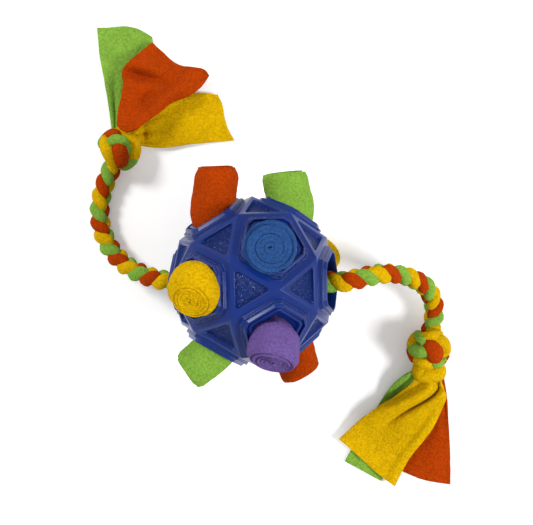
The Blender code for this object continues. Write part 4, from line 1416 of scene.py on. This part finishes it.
@dataclass
class Studio:
    """Plain pale floor, soft light and the photograph's camera."""

    floor_size: float = 6.0
    floor_shade: float = 0.90
    floor_glow: float = 0.16           # added where the camera sees the floor, so that it reads white
    floor_drop: float = 0.2 * MM
    floor_roughness: float = 0.95
    floor_gloss: float = 0.1
    world_strength: float = 0.58
    lamp_size: float = 0.40
    key_place: tuple[float, float, float] = (-1.05, 0.75, 1.25)
    key_power: float = 21.0            # in watts
    fill_place: tuple[float, float, float] = (1.25, -0.40, 1.05)
    fill_power: float = 24.0
    nearest_view: float = 0.05
    farthest_view: float = 20.0

    def build(self) -> None:
        """Add the floor, the lamps, the world and the camera."""
        self.add_floor()
        self.add_lamp("key_lamp", self.key_place, self.key_power)
        self.add_lamp("fill_lamp", self.fill_place, self.fill_power)
        self.add_world()
        self.add_camera()
        bpy.context.scene.view_settings.view_transform = "Standard"

    @staticmethod
    def seen_rays(tree: bpy.types.NodeTree) -> bpy.types.NodeSocket:
        """Add nodes that tell the rays which see the background.

        Args:
            tree: The node tree to add them to.

        Returns:
            The output that is 1 on camera, glossy and transmission rays and 0 on the others.
        """
        rays = tree.nodes.new("ShaderNodeLightPath")
        seen = rays.outputs["Is Camera Ray"]
        for kind in ("Is Glossy Ray", "Is Transmission Ray"):
            either = tree.nodes.new("ShaderNodeMath")
            either.operation = "MAXIMUM"
            tree.links.new(seen, either.inputs[0])
            tree.links.new(rays.outputs[kind], either.inputs[1])
            seen = either.outputs["Value"]
        return seen

    def add_floor(self) -> None:
        """Add the floor."""
        bpy.ops.object.select_all(action="DESELECT")
        bpy.ops.mesh.primitive_plane_add(size=self.floor_size, location=(0.0, 0.0, -self.floor_drop))
        floor = bpy.context.view_layer.objects.active
        floor.name = "floor"
        material = bpy.data.materials.new("pale_floor")
        material.use_nodes = True
        nodes = material.node_tree.nodes
        links = material.node_tree.links
        shader = nodes["Principled BSDF"]
        shader.inputs["Base Color"].default_value = (*shaded(WHITE, self.floor_shade), 1.0)
        shader.inputs["Roughness"].default_value = self.floor_roughness
        shader.inputs["Specular IOR Level"].default_value = self.floor_gloss
        shader.inputs["Emission Color"].default_value = (*WHITE, 1.0)
        glow = nodes.new("ShaderNodeMath")
        glow.operation = "MULTIPLY"
        glow.inputs[1].default_value = self.floor_glow
        links.new(self.seen_rays(material.node_tree), glow.inputs[0])
        links.new(glow.outputs["Value"], shader.inputs["Emission Strength"])
        floor.data.materials.append(material)

    def add_lamp(self, name: str, place: tuple[float, float, float], power: float) -> None:
        """Add a soft square lamp that faces the toy.

        Args:
            name: The lamp's name.
            place: Where it hangs.
            power: Its power in watts.
        """
        lamp = bpy.data.lights.new(name, "AREA")
        lamp.size = self.lamp_size
        lamp.energy = power
        holder = bpy.data.objects.new(name, lamp)
        holder.location = place
        holder.rotation_euler = (-Vector(place)).to_track_quat("-Z", "Y").to_euler()
        bpy.context.scene.collection.objects.link(holder)

    def add_world(self) -> None:
        """Add an even white surround."""
        world = bpy.data.worlds.new("white_surround")
        world.use_nodes = True
        nodes = world.node_tree.nodes
        back = nodes["Background"]
        back.inputs["Color"].default_value = (*WHITE, 1.0)
        strength = nodes.new("ShaderNodeMapRange")
        strength.inputs["To Min"].default_value = self.world_strength
        strength.inputs["To Max"].default_value = 1.0
        world.node_tree.links.new(self.seen_rays(world.node_tree), strength.inputs["Value"])
        world.node_tree.links.new(strength.outputs["Result"], back.inputs["Strength"])
        bpy.context.scene.world = world

    def add_camera(self) -> None:
        """Add the photograph's camera and make it the scene's."""
        camera = bpy.data.cameras.new("photo_camera")
        camera.sensor_width = SENSOR_WIDTH_MM
        camera.lens = FOCAL_PX * SENSOR_WIDTH_MM / IMAGE_WIDTH_PX
        camera.clip_start = self.nearest_view
        camera.clip_end = self.farthest_view
        holder = bpy.data.objects.new("photo_camera", camera)
        centre = ball_centre()
        holder.location = (centre.x + CAMERA_ASIDE_X, centre.y + CAMERA_ASIDE_Y, CAMERA_HEIGHT)
        bpy.context.scene.collection.objects.link(holder)
        bpy.context.scene.camera = holder


def report(piece: bpy.types.Object) -> bpy.types.Object:
    """Log a finished piece and pass it on."""
    LOG.info("%s: %d faces", piece.name, len(piece.data.polygons))
    return piece


def main() -> None:
    """Build the studio, then every piece of the toy in order."""
    logging.basicConfig(level=logging.INFO, format="%(message)s")
    Studio().build()
    rope = Rope(Plait())
    report(rope.build_core())
    for side, wraps in ((Side.LEFT, LEFT_WRAPS), (Side.RIGHT, RIGHT_WRAPS)):
        far_end = [report(Knot(side, wraps).build())]
        far_end += [report(end.build()) for end in LOOSE_ENDS if end.side is side]
        report(rope.build_stretch(side))
    report(RubberBall().build())
    for roll in ROLLS:
        report(roll.build())
    for strip in Strip:
        report(GatheredMiddle(strip).build())
    bpy.context.view_layer.update()


if __name__ == "__main__":
    main()
